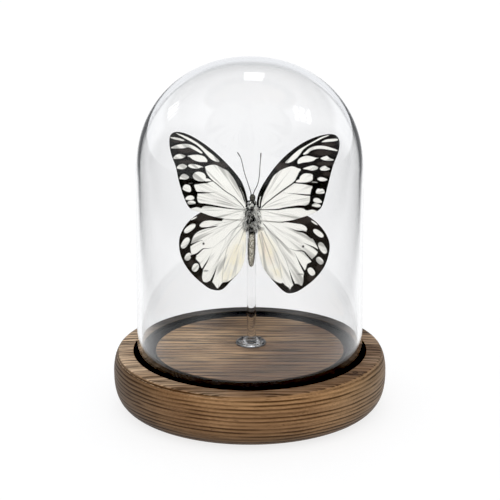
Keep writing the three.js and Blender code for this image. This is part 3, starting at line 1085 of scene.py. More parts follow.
leftForewing = {
    "node": "left_forewing",
    "root": (-1.5, 1.5),
    "pale": {
        "streak under the leading edge": [
            (-32.8, 36.6), (-28.8, 35.2), (-25.3, 33.3), (-22.1, 31.0), (-19.5, 28.7), (-16.8, 26.5),
            (-14.2, 24.0), (-14.4, 23.3), (-16.0, 23.7), (-17.9, 24.8), (-20.0, 27.1), (-21.6, 29.0),
            (-23.7, 31.0), (-26.7, 32.9), (-29.6, 34.6)],
        "tip stripe": [
            (-35.4, 34.7), (-34.1, 34.8), (-32.0, 34.5), (-30.1, 33.8), (-29.1, 33.2), (-30.1, 33.0),
            (-32.3, 33.5), (-34.1, 34.0)],
        "bent stripe": [
            (-35.1, 29.9), (-32.8, 31.1), (-29.1, 31.7), (-26.1, 31.1), (-23.7, 29.7), (-21.4, 27.6),
            (-22.1, 27.3), (-24.3, 28.5), (-26.1, 29.5), (-27.7, 30.1), (-29.3, 29.7), (-32.8, 29.6)],
        "third row, outer": [
            (-34.1, 25.0), (-33.1, 26.5), (-31.1, 27.1), (-29.6, 26.6), (-28.8, 26.1), (-29.9, 25.2),
            (-32.0, 24.8)],
        "third row, inner": [
            (-27.9, 26.1), (-25.6, 26.6), (-23.2, 26.6), (-20.8, 25.9), (-19.5, 24.5), (-19.4, 23.4),
            (-20.8, 23.3), (-23.2, 23.5), (-25.6, 24.5), (-26.8, 25.5)],
        "fourth row, outer": [
            (-32.7, 20.6), (-31.7, 22.0), (-30.1, 22.5), (-28.8, 22.0), (-28.2, 21.2), (-29.3, 20.2),
            (-31.2, 20.1)],
        "fourth row, inner": [
            (-27.7, 21.6), (-26.7, 22.4), (-24.8, 22.3), (-22.9, 21.8), (-21.1, 21.0), (-22.1, 20.8),
            (-23.7, 20.3), (-26.4, 20.6)],
        "fifth row, outer": [
            (-31.5, 15.7), (-30.8, 17.3), (-29.3, 17.9), (-27.3, 16.5), (-28.4, 15.4), (-30.1, 15.4)],
        "fifth row, inner": [
            (-25.7, 16.7), (-25.3, 18.0), (-24.0, 18.8), (-22.4, 18.8), (-20.8, 18.1), (-20.0, 16.7),
            (-20.3, 15.3), (-20.9, 14.5), (-23.2, 14.6), (-24.8, 15.3)],
        "tail of the fifth row": [
            (-20.6, 15.7), (-19.0, 15.7), (-17.5, 14.7), (-19.0, 14.5), (-20.6, 14.6)],
        "sixth row": [
            (-30.2, 11.0), (-29.8, 12.3), (-28.8, 13.0), (-26.9, 12.3), (-26.6, 9.7), (-28.3, 9.7),
            (-29.7, 10.4)],
        "seventh row, upper": [
            (-29.1, 6.3), (-28.2, 7.6), (-26.4, 8.0), (-25.2, 7.2), (-25.3, 6.3), (-26.7, 5.9),
            (-28.0, 6.0)],
        "seventh row, lower": [
            (-28.2, 4.7), (-27.5, 5.5), (-25.7, 5.7), (-24.6, 4.9), (-24.9, 4.1), (-26.4, 3.8),
            (-27.5, 4.0)],
        "hind corner": [
            (-27.2, 1.7), (-25.6, 2.4), (-24.0, 2.7), (-22.1, 2.2), (-20.6, 1.4), (-22.2, -0.6),
            (-25.8, -0.2)],
        "cell": [
            (-20.3, 20.9), (-19.2, 21.6), (-17.6, 22.0), (-15.5, 21.9), (-12.8, 20.5), (-10.4, 19.1),
            (-8.3, 16.4), (-6.8, 13.8), (-5.8, 11.7), (-4.4, 8.6), (-3.5, 5.8), (-2.6, 3.6),
            (-3.5, 2.6), (-7.5, 6.6), (-11.5, 9.5), (-15.2, 12.9), (-17.6, 15.3), (-19.5, 18.2)],
        "field": [
            (-25.1, 12.7), (-23.2, 13.2), (-19.5, 13.7), (-17.1, 14.4), (-15.2, 13.4), (-11.5, 10.2),
            (-7.5, 7.3), (-3.5, 3.3), (-1.6, 1.8), (-2.4, 1.0), (-6.2, 1.2), (-10.2, 1.6),
            (-14.2, 2.4), (-18.2, 3.2), (-21.1, 4.3), (-23.2, 4.9), (-23.9, 6.7), (-23.7, 8.6),
            (-24.5, 10.6)],
        "hind strip": [
            (-23.2, -1.0), (-22.4, 1.6), (-21.1, 3.0), (-18.2, 3.2), (-14.2, 2.7), (-10.2, 1.9),
            (-6.2, 1.5), (-1.4, 1.2), (-1.4, -5.6), (-14.2, -5.6), (-20.5, -3.6)],
    },
    "paleLines": [
        ([(-5.2, 11.7), (-4.0, 9.2), (-3.2, 6.7), (-2.4, 3.9)], 0.24, 0.6),
        ([(-27.4, 13.6), (-26.0, 13.6)], 0.3, 0.35),
    ],
    "veins": [
        # path from its outer end, widths and shares of black at both ends
        ([(-20.3, 20.3), (-20.1, 18.8), (-19.5, 17.6), (-17.6, 15.3), (-15.2, 13.2), (-11.5, 9.9),
          (-7.5, 7.1), (-4.0, 3.3), (-3.2, 2.2)], (0.42, 0.26), (1.0, 0.72)),
        ([(-25.3, 14.9), (-23.2, 14.2), (-21.1, 14.2), (-18.4, 14.4), (-16.8, 14.7)],
         (1.1, 0.1), (1, 0.7)),
        ([(-26.4, 9.2), (-23.2, 9.2), (-19.5, 9.2), (-15.5, 9.5), (-13.1, 9.8)], (1.3, 0.05), (1, 0.3)),
        ([(-26.7, 3.2), (-23.7, 3.7), (-21.6, 3.9), (-18.2, 3.5), (-14.2, 2.8), (-10.2, 2.1),
          (-6.2, 1.7), (-2.4, 1.7)], (1.6, 0.22), (1, 0.75)),
        ([(-18.7, 0.1), (-14.2, -0.5), (-10.2, -1.0), (-5.6, -0.7)], (0.3, 0.3), (0.1, 0.32)),
    ],
    "worn": [
        # middle, half width, half height
        (-27.5, 29.0, 5.5, 1.8), (-31.5, 33.0, 4.0, 0.9), (-14.0, 21.8, 5.0, 2.2), (-28.0, 23.4, 4.5, 1.0)],
}

rightForewing = {
    "node": "right_forewing",
    "root": (2.8, 1.5),
    "pale": {
        "streak under the leading edge": [
            (33.4, 35.6), (30.8, 34.9), (28.1, 33.5), (25.4, 31.9), (22.8, 30.3), (20.6, 28.9),
            (18.5, 27.1), (16.4, 25.0), (14.7, 23.1), (15.6, 22.8), (17.4, 23.4), (19.6, 25.1),
            (21.2, 27.1), (22.4, 28.9), (24.6, 30.7), (28.1, 32.7), (30.8, 34.2), (33.1, 35.2)],
        "tip stripe": [
            (30.4, 32.4), (32.1, 33.5), (34.2, 33.9), (36.9, 34.0), (37.4, 33.4), (36.1, 32.9),
            (33.4, 32.6)],
        "bent stripe": [
            (22.4, 27.0), (23.6, 28.2), (24.9, 29.4), (27.0, 30.4), (29.7, 30.8), (32.1, 30.6),
            (34.7, 29.9), (37.1, 29.0), (37.1, 28.5), (34.7, 28.8), (32.1, 29.2), (29.4, 29.4),
            (27.0, 29.0), (25.4, 28.2), (24.4, 27.2), (22.8, 26.7)],
        "third row, inner": [
            (20.0, 23.1), (20.3, 24.3), (21.7, 25.5), (23.8, 26.2), (26.0, 25.9), (27.8, 25.4),
            (29.4, 25.2), (28.1, 24.9), (27.0, 24.0), (24.9, 23.4), (22.2, 23.0), (20.4, 22.5)],
        "third row, outer": [
            (30.0, 25.1), (31.6, 25.9), (32.9, 26.2), (33.8, 25.4), (35.8, 24.4), (34.2, 24.0),
            (32.1, 24.1), (30.9, 24.5)],
        "fourth row, inner": [
            (22.4, 20.3), (24.4, 21.2), (26.8, 21.8), (28.4, 21.4), (29.0, 20.7), (28.1, 19.9),
            (26.2, 19.5), (24.4, 19.9)],
        "fourth row, outer": [
            (29.8, 20.6), (31.0, 21.5), (32.1, 21.7), (32.9, 21.1), (34.2, 20.3), (32.9, 19.6),
            (31.0, 19.5), (30.0, 19.9)],
        "fifth row, inner": [
            (21.0, 16.2), (22.4, 17.8), (24.1, 18.2), (26.4, 17.8), (26.7, 16.7), (26.5, 15.0),
            (24.9, 14.2), (22.8, 14.0), (21.3, 14.2)],
        "tail of the fifth row": [
            (19.2, 14.3), (20.1, 15.1), (21.4, 15.4), (21.8, 14.1), (20.1, 14.0)],
        "fifth row, outer": [
            (28.7, 15.7), (29.7, 16.5), (31.0, 16.4), (32.1, 16.0), (33.1, 15.4), (32.1, 14.8),
            (30.5, 14.6), (29.4, 15.0)],
        "sixth row": [
            (28.2, 9.2), (28.4, 10.6), (29.3, 11.3), (30.1, 11.0), (31.0, 11.2), (31.9, 10.2),
            (31.7, 9.1), (29.7, 8.9)],
        "seventh row, upper": [
            (27.0, 6.2), (27.7, 6.9), (29.2, 6.9), (30.3, 6.0), (30.8, 5.1), (29.7, 4.7),
            (28.1, 4.9), (27.2, 5.4)],
        "seventh row, lower": [
            (26.4, 3.5), (27.2, 4.4), (28.4, 4.6), (30.0, 3.9), (30.3, 3.2), (29.2, 2.7), (27.6, 3.0)],
        "hind corner": [
            (22.8, 1.2), (24.4, 1.2), (26.5, 1.6), (28.2, 1.2), (29.2, 0.4), (27.0, -2.0), (23.4, -2.4)],
        "cell": [
            (21.4, 20.0), (20.1, 20.5), (18.8, 21.1), (17.4, 21.3), (15.8, 20.9), (12.9, 19.6),
            (11.3, 18.4), (9.7, 16.9), (8.4, 14.8), (7.3, 12.5), (6.2, 10.3), (5.3, 8.1),
            (4.6, 5.8), (4.2, 3.9), (4.4, 2.4), (6.2, 4.0), (9.4, 6.6), (13.4, 9.8), (17.4, 13.0),
            (18.8, 14.4), (19.8, 16.3), (20.8, 18.1)],
        "field": [
            (18.9, 13.5), (21.7, 13.3), (24.4, 13.0), (26.5, 12.3), (26.1, 10.6), (25.8, 9.2),
            (25.6, 7.8), (25.5, 5.8), (24.9, 4.3), (23.6, 3.5), (20.1, 2.9), (14.8, 2.2),
            (10.8, 1.3), (3.4, 1.2), (4.0, 2.4), (9.4, 6.8), (13.4, 10.0), (17.4, 13.2)],
        "hind strip": [
            (2.4, 1.5), (10.8, 1.5), (15.3, 2.1), (20.1, 2.6), (22.5, 2.2), (23.8, 1.1),
            (25.4, -1.6), (22.8, -5.6), (2.4, -5.6)],
    },
    "paleLines": [
        ([(3.9, 7.2), (3.5, 5.3), (3.4, 3.0)], 0.42, 0.7),
        ([(26.5, 14.2), (27.6, 14.2), (28.7, 14.05)], 0.32, 0.7),
    ],
    "veins": [
        ([(21.2, 18.9), (20.6, 17.6), (19.8, 15.9), (18.5, 13.9), (13.4, 10.0), (9.4, 6.8),
          (6.2, 4.2), (4.5, 2.5)], (0.72, 0.34), (1, 0.9)),
        ([(26.4, 12.9), (24.4, 13.2), (21.7, 13.7), (19.2, 13.9)], (1.0, 0.3), (1, 0.95)),
        ([(26.2, 8.2), (23.3, 8.3), (20.1, 8.6), (17.4, 8.8), (13.7, 9.1)], (0.8, 0.1), (1, 0.45)),
        ([(25.6, 2.4), (22.8, 2.8), (20.1, 2.9), (14.8, 2.2), (10.8, 1.5), (3.7, 1.4)],
         (1.6, 0.3), (1, 0.75)),
        ([(16.4, -1.4), (10.8, -1.7), (5.4, -1.1)], (0.4, 0.3), (0.15, 0.3)),
        ([(17.0, -0.2), (10.8, -0.3), (5.4, -0.2)], (0.3, 0.3), (0.05, 0.18)),
    ],
    "worn": [
        (31.0, 27.6, 5.0, 1.6), (33.5, 31.4, 3.6, 1.0), (13.0, 21.0, 3.6, 2.4), (32.0, 22.6, 4.5, 1.2),
        (33.0, 18.0, 2.2, 1.2)],
}

leftHindwing = {
    "node": "left_hindwing",
    "root": (-2.0, -1.5),
    "fade": 0.32,
    "pale": {
        "field": [
            (-12.8, -3.4), (-10.1, -2.3), (-4.5, -1.1), (-0.8, 0.5), (-0.8, -26.7), (-5.0, -27.6),
            (-7.6, -30.0), (-9.5, -31.5), (-11.2, -32.3), (-12.9, -32.6), (-14.0, -34.1), (-15.0, -35.2),
            (-16.0, -34.2), (-17.1, -32.6), (-18.5, -31.7), (-19.9, -32.4), (-21.3, -31.9),
            (-21.9, -30.3), (-21.7, -28.2), (-21.5, -26.7), (-22.3, -25.3), (-23.1, -23.2),
            (-24.6, -21.3), (-24.3, -20.0), (-25.5, -19.7), (-26.5, -19.1), (-26.9, -17.0),
            (-26.9, -15.0), (-26.4, -13.2), (-25.8, -11.4), (-24.7, -9.7), (-22.4, -8.2),
            (-19.6, -7.3), (-16.8, -6.9), (-14.6, -6.1), (-12.9, -4.7)],
        "lens": [
            (-22.9, -5.8), (-21.3, -4.2), (-18.5, -3.7), (-15.7, -3.9), (-12.1, -4.2), (-12.1, -5.6),
            (-15.7, -6.2), (-18.5, -6.6), (-21.0, -7.0), (-22.4, -6.6)],
    },
    "spots": [
        # middle, half length, half width, angle
        (-27.2, -7.2, 3.0, 1.25, 38), (-29.2, -13.9, 2.8, 1.35, 58), (-28.0, -20.3, 1.9, 1.3, 60),
        (-24.8, -25.4, 2.0, 1.4, 68), (-25.3, -2.6, 1.5, 0.32, 28),
    ],
    "veins": [
        ([(-23.6, -7.6), (-21.3, -7.3), (-18.5, -6.9), (-15.4, -6.4)], (1.5, 0.1), (1, 0.9)),
        ([(-27.1, -15.1), (-25.5, -14.2), (-23.0, -13.1), (-21.3, -12.8)], (0.9, 0.08), (1, 0.7)),
        ([(-26.4, -20.1), (-24.1, -19.1), (-22.4, -17.6), (-21.2, -16.7), (-19.1, -16.6),
          (-16.8, -16.2)], (1.2, 0.1), (1, 0.5)),
        ([(-22.0, -26.7), (-20.8, -24.7), (-19.6, -22.6), (-18.5, -20.3), (-17.4, -17.6)],
         (0.85, 0.1), (1, 0.3)),
        ([(-18.1, -32.3), (-17.1, -30.0), (-16.0, -27.0), (-14.9, -23.2)], (1.2, 0.1), (1, 0.35)),
        ([(-14.9, -23.2), (-13.5, -18.5), (-11.9, -14.7), (-11.2, -12.0)], (0.25, 0.25), (0.3, 0.3)),
        ([(-13.0, -32.3), (-12.8, -28.2), (-12.2, -23.8), (-11.5, -19.4), (-10.1, -15.0),
          (-7.3, -10.8), (-4.2, -7.0)], (0.3, 0.35), (0.35, 0.4)),
        ([(-16.8, -16.2), (-15.1, -14.7), (-11.5, -11.7), (-8.4, -8.2), (-4.8, -6.1)],
         (0.3, 0.4), (0.25, 0.4)),
        ([(-10.4, -25.5), (-8.7, -20.8), (-6.5, -16.7), (-4.8, -12.6), (-3.4, -8.5)],
         (0.2, 0.4), (0.1, 0.4)),
        ([(-3.8, -20.8), (-2.8, -15.0), (-2.2, -10.8)], (0.2, 0.4), (0.1, 0.35)),
        ([(-12.1, -4.7), (-8.7, -4.1), (-4.5, -3.8)], (0.5, 0.4), (0.25, 0.2)),
        ([(-14.6, -34.9), (-14.4, -33.0), (-14.0, -30.5)], (0.25, 0.1), (0.5, 0.1)),
    ],
    "smudges": [
        (-21.2, -14.4, 0.62, 0.7, 0.85), (-20.2, -27.0, 1.5, 0.6, 0.55), (-23.4, -23.2, 0.8, 0.9, 0.4),
        (-23.2, -12.8, 2.0, 1.2, 0.2), (-11.6, -31.8, 1.6, 1.0, 0.3),
    ],
    "worn": [(-20.5, -2.0, 7.0, 2.8), (-23.0, -31.5, 2.5, 3.0), (-26.5, -23.5, 1.8, 2.2)],
    "cream": [([(-2.6, -8), (-8.5, -14), (-12.4, -22), (-12.8, -31), (-8.5, -31), (-3, -24)], 2.4, 0.85)],
    "peach": [([(-5.5, -15), (-9.0, -19), (-8.5, -24), (-5.5, -22)], 2.0, 0.35)],
}

rightHindwing = {
    "node": "right_hindwing",
    "root": (2.4, -1.5),
    "fade": 0.32,
    "pale": {
        "field": [
            (1.5, 0.8), (4.9, -3.2), (12.7, -4.7), (14.9, -4.5), (18.9, -5.0), (21.7, -5.4),
            (23.6, -6.3), (24.4, -7.6), (24.1, -8.8), (25.0, -10.4), (26.6, -11.9), (27.6, -13.2),
            (28.5, -15.0), (29.3, -16.7), (29.2, -18.2), (28.4, -19.7), (26.9, -21.3), (26.3, -22.8),
            (24.6, -23.8), (24.1, -25.5), (23.5, -27.0), (22.9, -29.4), (22.9, -31.7), (22.2, -33.9),
            (20.8, -33.2), (19.3, -33.0), (18.3, -33.9), (17.5, -34.8), (17.0, -36.0), (16.5, -35.0),
            (14.9, -33.8), (13.8, -32.6), (12.7, -32.9), (9.1, -30.9), (4.3, -25.6), (0.9, -15.0)],
        "upper strip": [(1.8, 0.5), (1.8, -4.8), (8.5, -4.9), (14.6, -4.0), (10.0, -1.6)],
    },
    "spots": [
        (29.4, -9.5, 2.7, 1.15, -38), (31.3, -16.3, 2.9, 1.35, -60), (30.1, -22.2, 1.9, 1.3, -50),
        (26.4, -27.3, 2.0, 1.35, -55), (27.6, -4.7, 1.7, 0.36, -35),
    ],
    "veins": [
        ([(26.4, -11.1), (24.5, -9.8), (22.5, -8.9), (19.4, -8.3), (14.9, -6.1)], (1.9, 0.06), (1, 0.3)),
        ([(29.5, -17.7), (27.3, -16.1), (25.0, -15.0), (23.1, -14.1)], (1.1, 0.1), (1, 0.8)),
        ([(27.0, -22.6), (24.5, -19.7), (22.8, -17.9), (19.4, -17.6), (16.1, -16.3)],
         (0.95, 0.14), (1, 0.5)),
        ([(23.6, -27.9), (22.5, -25.8), (21.4, -23.8), (20.0, -20.8), (18.6, -17.9)],
         (1.0, 0.14), (1, 0.35)),
        ([(19.2, -34.2), (18.0, -31.1), (17.2, -28.5), (16.2, -25.3)], (1.1, 0.14), (1, 0.5)),
        ([(16.2, -25.3), (14.9, -21.4), (12.4, -16.7), (10.5, -11.7)], (0.3, 0.3), (0.4, 0.3)),
        ([(13.3, -30.5), (12.6, -25.3), (11.6, -20.8), (9.9, -16.7), (7.7, -12.6), (5.7, -8.5)],
         (0.35, 0.4), (0.3, 0.4)),
        ([(16.1, -16.3), (13.3, -13.5), (10.5, -11.3), (7.7, -8.2), (5.3, -5.3)], (0.3, 0.5), (0.3, 0.5)),
        ([(11.0, -29.1), (9.6, -24.7), (7.9, -20.0), (6.0, -14.4), (4.3, -9.1)], (0.4, 0.4), (0.3, 0.4)),
        ([(5.8, -21.4), (4.4, -15.6), (3.4, -10.3)], (0.3, 0.5), (0.25, 0.4)),
        ([(12.7, -4.7), (8.5, -4.2), (5.1, -3.6)], (0.35, 0.35), (0.45, 0.3)),
        ([(17.0, -35.8), (16.6, -33.4), (15.9, -31.0)], (0.25, 0.1), (0.5, 0.1)),
    ],
    "smudges": [
        (22.7, -15.7, 0.62, 0.7, 0.9), (21.6, -28.6, 1.9, 0.6, 0.5), (25.0, -24.4, 0.8, 0.9, 0.4),
        (28.0, -13.9, 1.0, 1.2, 0.25), (4.6, -7.6, 1.6, 1.2, 0.45),
    ],
    "worn": [(22.5, -3.0, 7.5, 3.0), (26.6, -30.5, 3.0, 2.4), (30.0, -25.5, 2.0, 2.2)],
    "cream": [([(2.4, -8), (8.0, -12), (12.4, -20), (13.2, -30), (9.5, -29), (4.0, -22)], 2.4, 0.8)],
    "peach": [([(2.0, -7), (6.2, -10), (9.0, -18), (9.2, -24), (6.4, -22), (3.4, -15)], 1.6, 0.75)],
}

upperSide = wingMaterial("scaled wing, upper side", 1.0)
underSide = wingMaterial("scaled wing, underside", wingLook["underside"])
for wing, depth in (
    (leftForewing, butterfly["foreDepth"]), (rightForewing, butterfly["foreDepth"]),
    (leftHindwing, butterfly["hindDepth"]), (rightHindwing, butterfly["hindDepth"]),
):
    makeWing(wing, depth, [upperSide, underSide])
    print(wing["node"], "made")


# the body, its fur and the antennae

bodyShape = {
    # half width at each height, mm
    "outline": [
        (0, -25.3), (0.55, -25.1), (0.95, -24.5), (1.25, -23.4), (1.55, -21.4), (1.68, -19),
        (1.73, -16.5), (1.7, -14), (1.6, -12), (1.5, -10.4), (1.5, -9.3), (1.75, -7.7), (2.1, -5.8),
        (2.34, -3.8), (2.38, -1.6), (2.3, 0.5), (2.1, 2.4), (1.7, 4), (1.2, 5), (1.1, 5.4), (1.28, 6),
        (1.3, 6.7), (1.05, 7.4), (0.6, 7.9), (0, 8.2)],
    "segments": [-22.6, -20.4, -18.2, -16.0, -13.8, -11.7],
    "segmentDepth": 0.14,
    "segmentWidth": 0.22,
    "lumps": 0.05,
    "rings": 210,
    "around": 72,
    "eyeRadius": 0.62,
    "eyePlace": (0.62, -0.38, 6.55),
    "eyeFlatness": 0.72,
}
bodyLook = {
    "dark": (70, 67, 59),
    "pale": (212, 208, 194),
    "brown": (132, 124, 106),
    "flank": (46, 43, 36),
    "head": (20, 19, 17),
    "headFrom": (92.2, 93.4),    # height in mm where the dark head begins
    "roughness": 0.7,
    "specular": 0.3,
    "relief": 0.12,              # mm
}
eyeLook = {"dark": (16, 14, 12), "pale": (46, 38, 30), "facets": 9.0, "roughness": 0.25, "specular": 0.6}
furShape = {
    "strands": 3600,
    "length": (0.8, 1.9),
    "thickness": 0.088,
    "halfWidth": 5.0,
    "neckHalfWidth": 2.0,
    "top": 5.2,
    "bottom": -9.2,
    "thinsBelow": -6.2,
    "thinsBeside": (1.9, 2.2),    # on the wings it thins out from here over this distance
    "patch": 0.54,                # size of the patches of one colour
    "paleStreak": (1.5, 0.7),     # its place across and half width
    "darkStreak": (-0.5, 1.3),
    "darkBeyond": (-6.8, 3.6),    # all fur is darker below and above these heights
    "tints": [(-0.03, "black"), (0.02, "grey"), (0.08, "olive")],    # above them it is white
    "seed": 7,
}
furTones = {
    "black": (14, 14, 13),
    "white": (254, 254, 248),
    "olive": (132, 128, 106),
    "grey": (104, 104, 98),
}
antennaShape = {
    "left": [
        (-0.42, 7.2), (-0.3, 8.5), (-1.9, 13.8), (-3.2, 18), (-4.1, 22.2), (-4.8, 24.7), (-6.3, 27.3)],
    "right": [
        (0.7, 7.2), (1, 8.7), (2.7, 12.6), (3.4, 16.5), (3.7, 21.4), (3.95, 24.5), (4.1, 27.1)],
    "depth": 0.8,
    "root": 0.2,                  # radii
    "shaft": 0.17,
    "club": 0.24,
    "clubFrom": (0.84, 0.94),     # shares of the length
    "tipFrom": 0.97,
    "rings": 46,
    "around": 14,
}
antennaLook = {
    "dark": (34, 32, 30),
    "pale": (66, 60, 55),
    "bands": {"Scale": 0.9, "Distortion": 1.5},
    "roughness": 0.5,
    "specular": 0.4,
}


def leanBody(x, y, z):    # a point of the upright body, moved to its place on the rod
    lean = math.radians(butterfly["bodyLean"])
    turnedX = x * math.cos(lean) + z * math.sin(lean) + butterfly["bodyOffset"]
    turnedZ = z * math.cos(lean) - x * math.sin(lean)
    return (Vector(butterfly["middle"]) + Vector((turnedX, y, turnedZ))) * mm


def grooved(radius, z):    # the body is thinner between two segments
    for groove in bodyShape["segments"]:
        radius -= bodyShape["segmentDepth"] * math.exp(-((z - groove) / bodyShape["segmentWidth"]) ** 2)
    return radius


def bodyRadius(z):
    widths, heights = zip(*bodyShape["outline"])
    return max(grooved(float(np.interp(z, heights, widths)), z), 0)


def bodyMaterial():
    look = bodyLook
    material, shader = newMaterial("scaled body", look["roughness"], look["specular"])
    shader.inputs["Sheen Weight"].default_value = 0.1
    place = placeInMm(material)
    fine = stretchedNoise(material, place, (1.6, 1.6, 2.4), 3, 0.6)
    broad = stretchedNoise(material, place, (0.5, 0.5, 0.5), 2)
    head = spread(material, heightInMm(material), *look["headFrom"])
    facing = addNode(material, "ShaderNodeNewGeometry").outputs["Normal"]
    facing = addNode(material, "ShaderNodeSeparateXYZ", {0: facing}).outputs
    side = spread(material, sums(material, "ABSOLUTE", facing[0]), 0.38, 0.8)
    colour = blend(material, spread(material, fine, 0.44, 0.54), tone(*look["dark"]), tone(*look["pale"]))
    colour = blend(material, spread(material, broad, 0.4, 0.6, 0.0, 0.4), colour, tone(*look["brown"]))
    colour = blend(material, sums(material, "MULTIPLY", side, 0.85), colour, tone(*look["flank"]))
    headShare = sums(material, "MULTIPLY", head, spread(material, fine, 0.42, 0.56, 0.98, 0.82))
    colour = blend(material, headShare, colour, tone(*look["head"]))
    material.node_tree.links.new(colour, shader.inputs["Base Color"])
    addBump(material, shader, fine, look["relief"], 0.8)
    return material


def growBody():
    shape = bodyShape
    bm = bmesh.new()
    smooth = smoothPath(shape["outline"], steps=12)
    heights = smooth[:, 1]
    rings = []
    for z in np.linspace(heights[0], heights[-1], shape["rings"]):
        radius = grooved(float(np.interp(z, heights, smooth[:, 0])), z)
        if radius < 0.02:
            rings.append([bm.verts.new(leanBody(0, 0, z))])
            continue
        ring = []
        for step in range(shape["around"]):
            angle = step / shape["around"] * math.tau
            spot = Vector((math.cos(angle) * 2, math.sin(angle) * 2, z * 0.9))
            lump = 1 - shape["lumps"] * (0.5 + 0.5 * noise.noise(spot))
            x = radius * lump * math.cos(angle)
            y = radius * lump * math.sin(angle) * butterfly["depthRatio"]
            ring.append(bm.verts.new(leanBody(x, y, z)))
        rings.append(ring)
    for low, high in zip(rings, rings[1:]):
        bridge(bm, low, high)
    mesh = meshFrom(bm, "body", 60)
    return finishPiece("scaled_body", mesh, [bodyMaterial()], "insect_body", "butterfly_body")


def eyeMaterial():
    look = eyeLook
    material, shader = newMaterial("compound eye", look["roughness"], look["specular"])
    inputs = {"Vector": placeInMm(material), "Scale": look["facets"]}
    facets = addNode(material, "ShaderNodeTexVoronoi", inputs).outputs["Distance"]
    colour = ramp(material, facets, [(0.0, tone(*look["pale"])), (0.7, tone(*look["dark"]))])
    material.node_tree.links.new(colour, shader.inputs["Base Color"])
    addBump(material, shader, facets, -0.03, 0.6)
    return material


def setEyes():
    bm = bmesh.new()
    x, y, z = bodyShape["eyePlace"]
    for side in (-1, 1):
        made = bmesh.ops.create_icosphere(bm, subdivisions=3, radius=bodyShape["eyeRadius"] * mm)
        middle = leanBody(side * x, y, z)
        for vert in made["verts"]:
            vert.co.x *= bodyShape["eyeFlatness"]
            vert.co += middle
    mesh = meshFrom(bm, "eyes", 80)
    return finishPiece("eyes", mesh, [eyeMaterial()], "insect_body")


def furMaterial(name, colour):
    material, shader = newMaterial(name, 0.75, 0.2)
    shader.inputs["Sheen Weight"].default_value = 0.2
    streak = stretchedNoise(material, placeInMm(material), (2.5, 2.5, 2.5), 2)
    darker = tone(*(value * 0.78 for value in colour))
    mixed = blend(material, spread(material, streak, 0.35, 0.65), darker, tone(*colour))
    material.node_tree.links.new(mixed, shader.inputs["Base Color"])
    return material


def furLean(x, z):    # above 0 the fur is paler there, below 0 darker
    fur = furShape
    low, high = fur["darkBeyond"]
    outside = min(max(low - z, z - high, 0) / 1.2, 1)
    middle, half = fur["darkStreak"]
    lean = 0.12 - 0.26 * math.exp(-((x - middle) / half) ** 2)
    middle, half = fur["paleStreak"]
    pale = math.exp(-((x - middle + 0.3 * math.sin(z * 0.9)) / half) ** 2)
    return lean + 0.42 * pale * (1 - outside) - 0.22 * outside


def furTint(value):
    for limit, tint in furShape["tints"]:
        if value < limit:
            return tint
    return "white"


def addStrand(bm, root, heading, out, length, thick):    # three-sided and bent, with a pointed tip
    across = heading.cross(out)
    if across.length < 1e-3:
        across = Vector((1, 0, 0))
    across.normalize()
    upward = across.cross(heading).normalized()
    rings = []
    for spot, size in ((root, 1.0), (root + heading * length * 0.5, 0.75)):
        ring = []
        for step in range(3):
            angle = step / 3 * math.tau
            offset = (across * math.cos(angle) + upward * math.sin(angle)) * thick * size
            ring.append(bm.verts.new(leanBody(*(spot + offset))))
        rings.append(ring)
    bend = (out * -0.35 + Vector((0, 0, -0.2))) * length * 0.3
    point = bm.verts.new(leanBody(*(root + heading * length + bend)))
    low, high = rings
    faces = [bm.faces.new((low[2], low[1], low[0]))]
    for step in range(3):
        after = (step + 1) % 3
        faces.append(bm.faces.new((low[step], low[after], high[after], high[step])))
        faces.append(bm.faces.new((high[step], high[after], point)))
    return faces


def growFur():
    fur = furShape
    chance = random.Random(fur["seed"])
    bm = bmesh.new()
    names = list(furTones)
    beside, fading = fur["thinsBeside"]
    made = 0
    while made < fur["strands"]:
        z = chance.uniform(fur["bottom"], fur["top"])
        reach = fur["halfWidth"] * (1 - 0.35 * ((z + 2.5) / 7.5) ** 2) if z < 4 else fur["neckHalfWidth"]
        thin = min(max((fur["thinsBelow"] - z) / (fur["thinsBelow"] - fur["bottom"]), 0), 1)
        reach *= 1 - 0.5 * thin
        x = chance.triangular(-reach, reach, 0)
        half = bodyRadius(z) * 0.97
        if abs(x) < half:
            y = -half * math.sqrt(max(1 - (x / half) ** 2, 0)) * butterfly["depthRatio"]
            out = Vector((x / half, y / half, 0)).normalized()
        elif z < 2.6:
            y = butterfly["foreDepth"] - 0.12
            out = Vector((0.35 * math.copysign(1, x), -1, 0)).normalized()
        else:
            continue
        edge = min(max((abs(x) - beside) / fading, 0), 1)
        if chance.random() < max(0.35 * (edge > 0) + edge * 0.58, thin):
            continue
        made += 1
        flow = Vector((0.55 * x / 3 + chance.uniform(-0.4, 0.4), 0, -1 + chance.uniform(-0.25, 0.35)))
        lift = chance.uniform(0.15, 0.5) if abs(x) > half else chance.uniform(0.25, 0.75)
        heading = (flow.normalized() + out * lift).normalized()
        length = chance.uniform(*fur["length"]) * (0.75 if z > 3.2 else 1)
        cell = Vector((x, y * 0.6, z * 0.8)) / fur["patch"]
        value = 1.4 * noise.noise(cell) + 0.4 * noise.noise(cell * 2.3 + Vector((9, 2, 5)))
        value += furLean(x, z) + chance.uniform(-0.08, 0.08)
        thick = fur["thickness"] * chance.uniform(0.8, 1.3)
        for face in addStrand(bm, Vector((x, y, z)), heading, out, length, thick):
            face.material_index = names.index(furTint(value))
    mesh = meshFrom(bm, "fur", 180)
    materials = [furMaterial(name + " fur", colour) for name, colour in furTones.items()]
    return finishPiece("thorax_fur", mesh, materials, "insect_body")


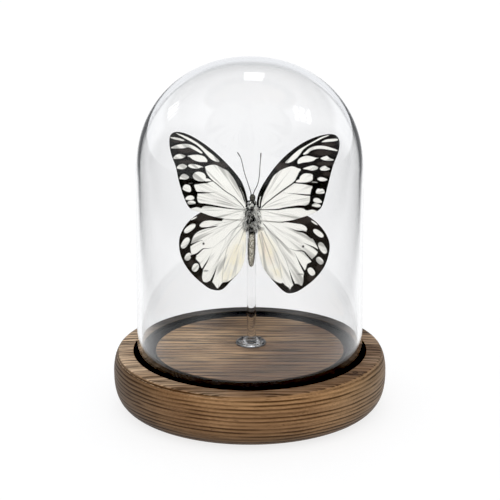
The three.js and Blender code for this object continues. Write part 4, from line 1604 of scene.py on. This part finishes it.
def antennaMaterial():
    look = antennaLook
    material, shader = newMaterial("antenna shell", look["roughness"], look["specular"])
    inputs = {"Vector": placeInMm(material), **look["bands"]}
    bands = addNode(material, "ShaderNodeTexWave", inputs, bands_direction="Z").outputs["Fac"]
    colour = blend(material, bands, tone(*look["dark"]), tone(*look["pale"]))
    material.node_tree.links.new(colour, shader.inputs["Base Color"])
    addBump(material, shader, bands, 0.03, 0.5)
    return material


def growAntenna(side, material):
    shape = antennaShape
    path = smoothPath(shape[side], steps=10)
    lengths = np.concatenate([[0], np.cumsum(np.linalg.norm(np.diff(path, axis=0), axis=1))])
    bm = bmesh.new()
    rings = []
    total = lengths[-1]
    for step in range(shape["rings"] + 1):
        t = step / shape["rings"]
        x = np.interp(t * total, lengths, path[:, 0])
        z = np.interp(t * total, lengths, path[:, 1])
        after = min(t * total + 0.05, total)
        before = max(t * total - 0.05, 0)
        ahead = Vector((
            np.interp(after, lengths, path[:, 0]) - np.interp(before, lengths, path[:, 0]), 0,
            np.interp(after, lengths, path[:, 1]) - np.interp(before, lengths, path[:, 1]),
        )).normalized()
        across = Vector((0, 1, 0)).cross(ahead)
        radius = shape["root"] + (shape["shaft"] - shape["root"]) * min(t * 3, 1)
        radius += (shape["club"] - shape["shaft"]) * float(ease(np.array(t), *shape["clubFrom"]))
        radius *= 1 - 0.04 * (step % 2)
        if t > shape["tipFrom"]:
            toTip = (t - shape["tipFrom"]) / (1 - shape["tipFrom"])
            radius *= math.sqrt(max(1 - toTip ** 2, 0.0))
        middle = Vector(butterfly["middle"]) + Vector((x, shape["depth"], z))
        if radius < 0.03:
            rings.append([bm.verts.new(middle * mm)])
            continue
        ring = []
        for turn in range(shape["around"]):
            angle = turn / shape["around"] * math.tau
            offset = (across * math.cos(angle) + Vector((0, 1, 0)) * math.sin(angle)) * radius
            ring.append(bm.verts.new((middle + offset) * mm))
        rings.append(ring)
    bm.faces.new(rings[0][::-1])
    for low, high in zip(rings, rings[1:]):
        bridge(bm, low, high)
    mesh = meshFrom(bm, side + " antenna", 60)
    name = "clubbed_" + side + "_antenna"
    return finishPiece(name, mesh, [material], "antenna_shell", side + "_antenna")


growBody()
setEyes()
growFur()
shell = antennaMaterial()
for side in ("left", "right"):
    growAntenna(side, shell)
print("body, fur and antennae made")
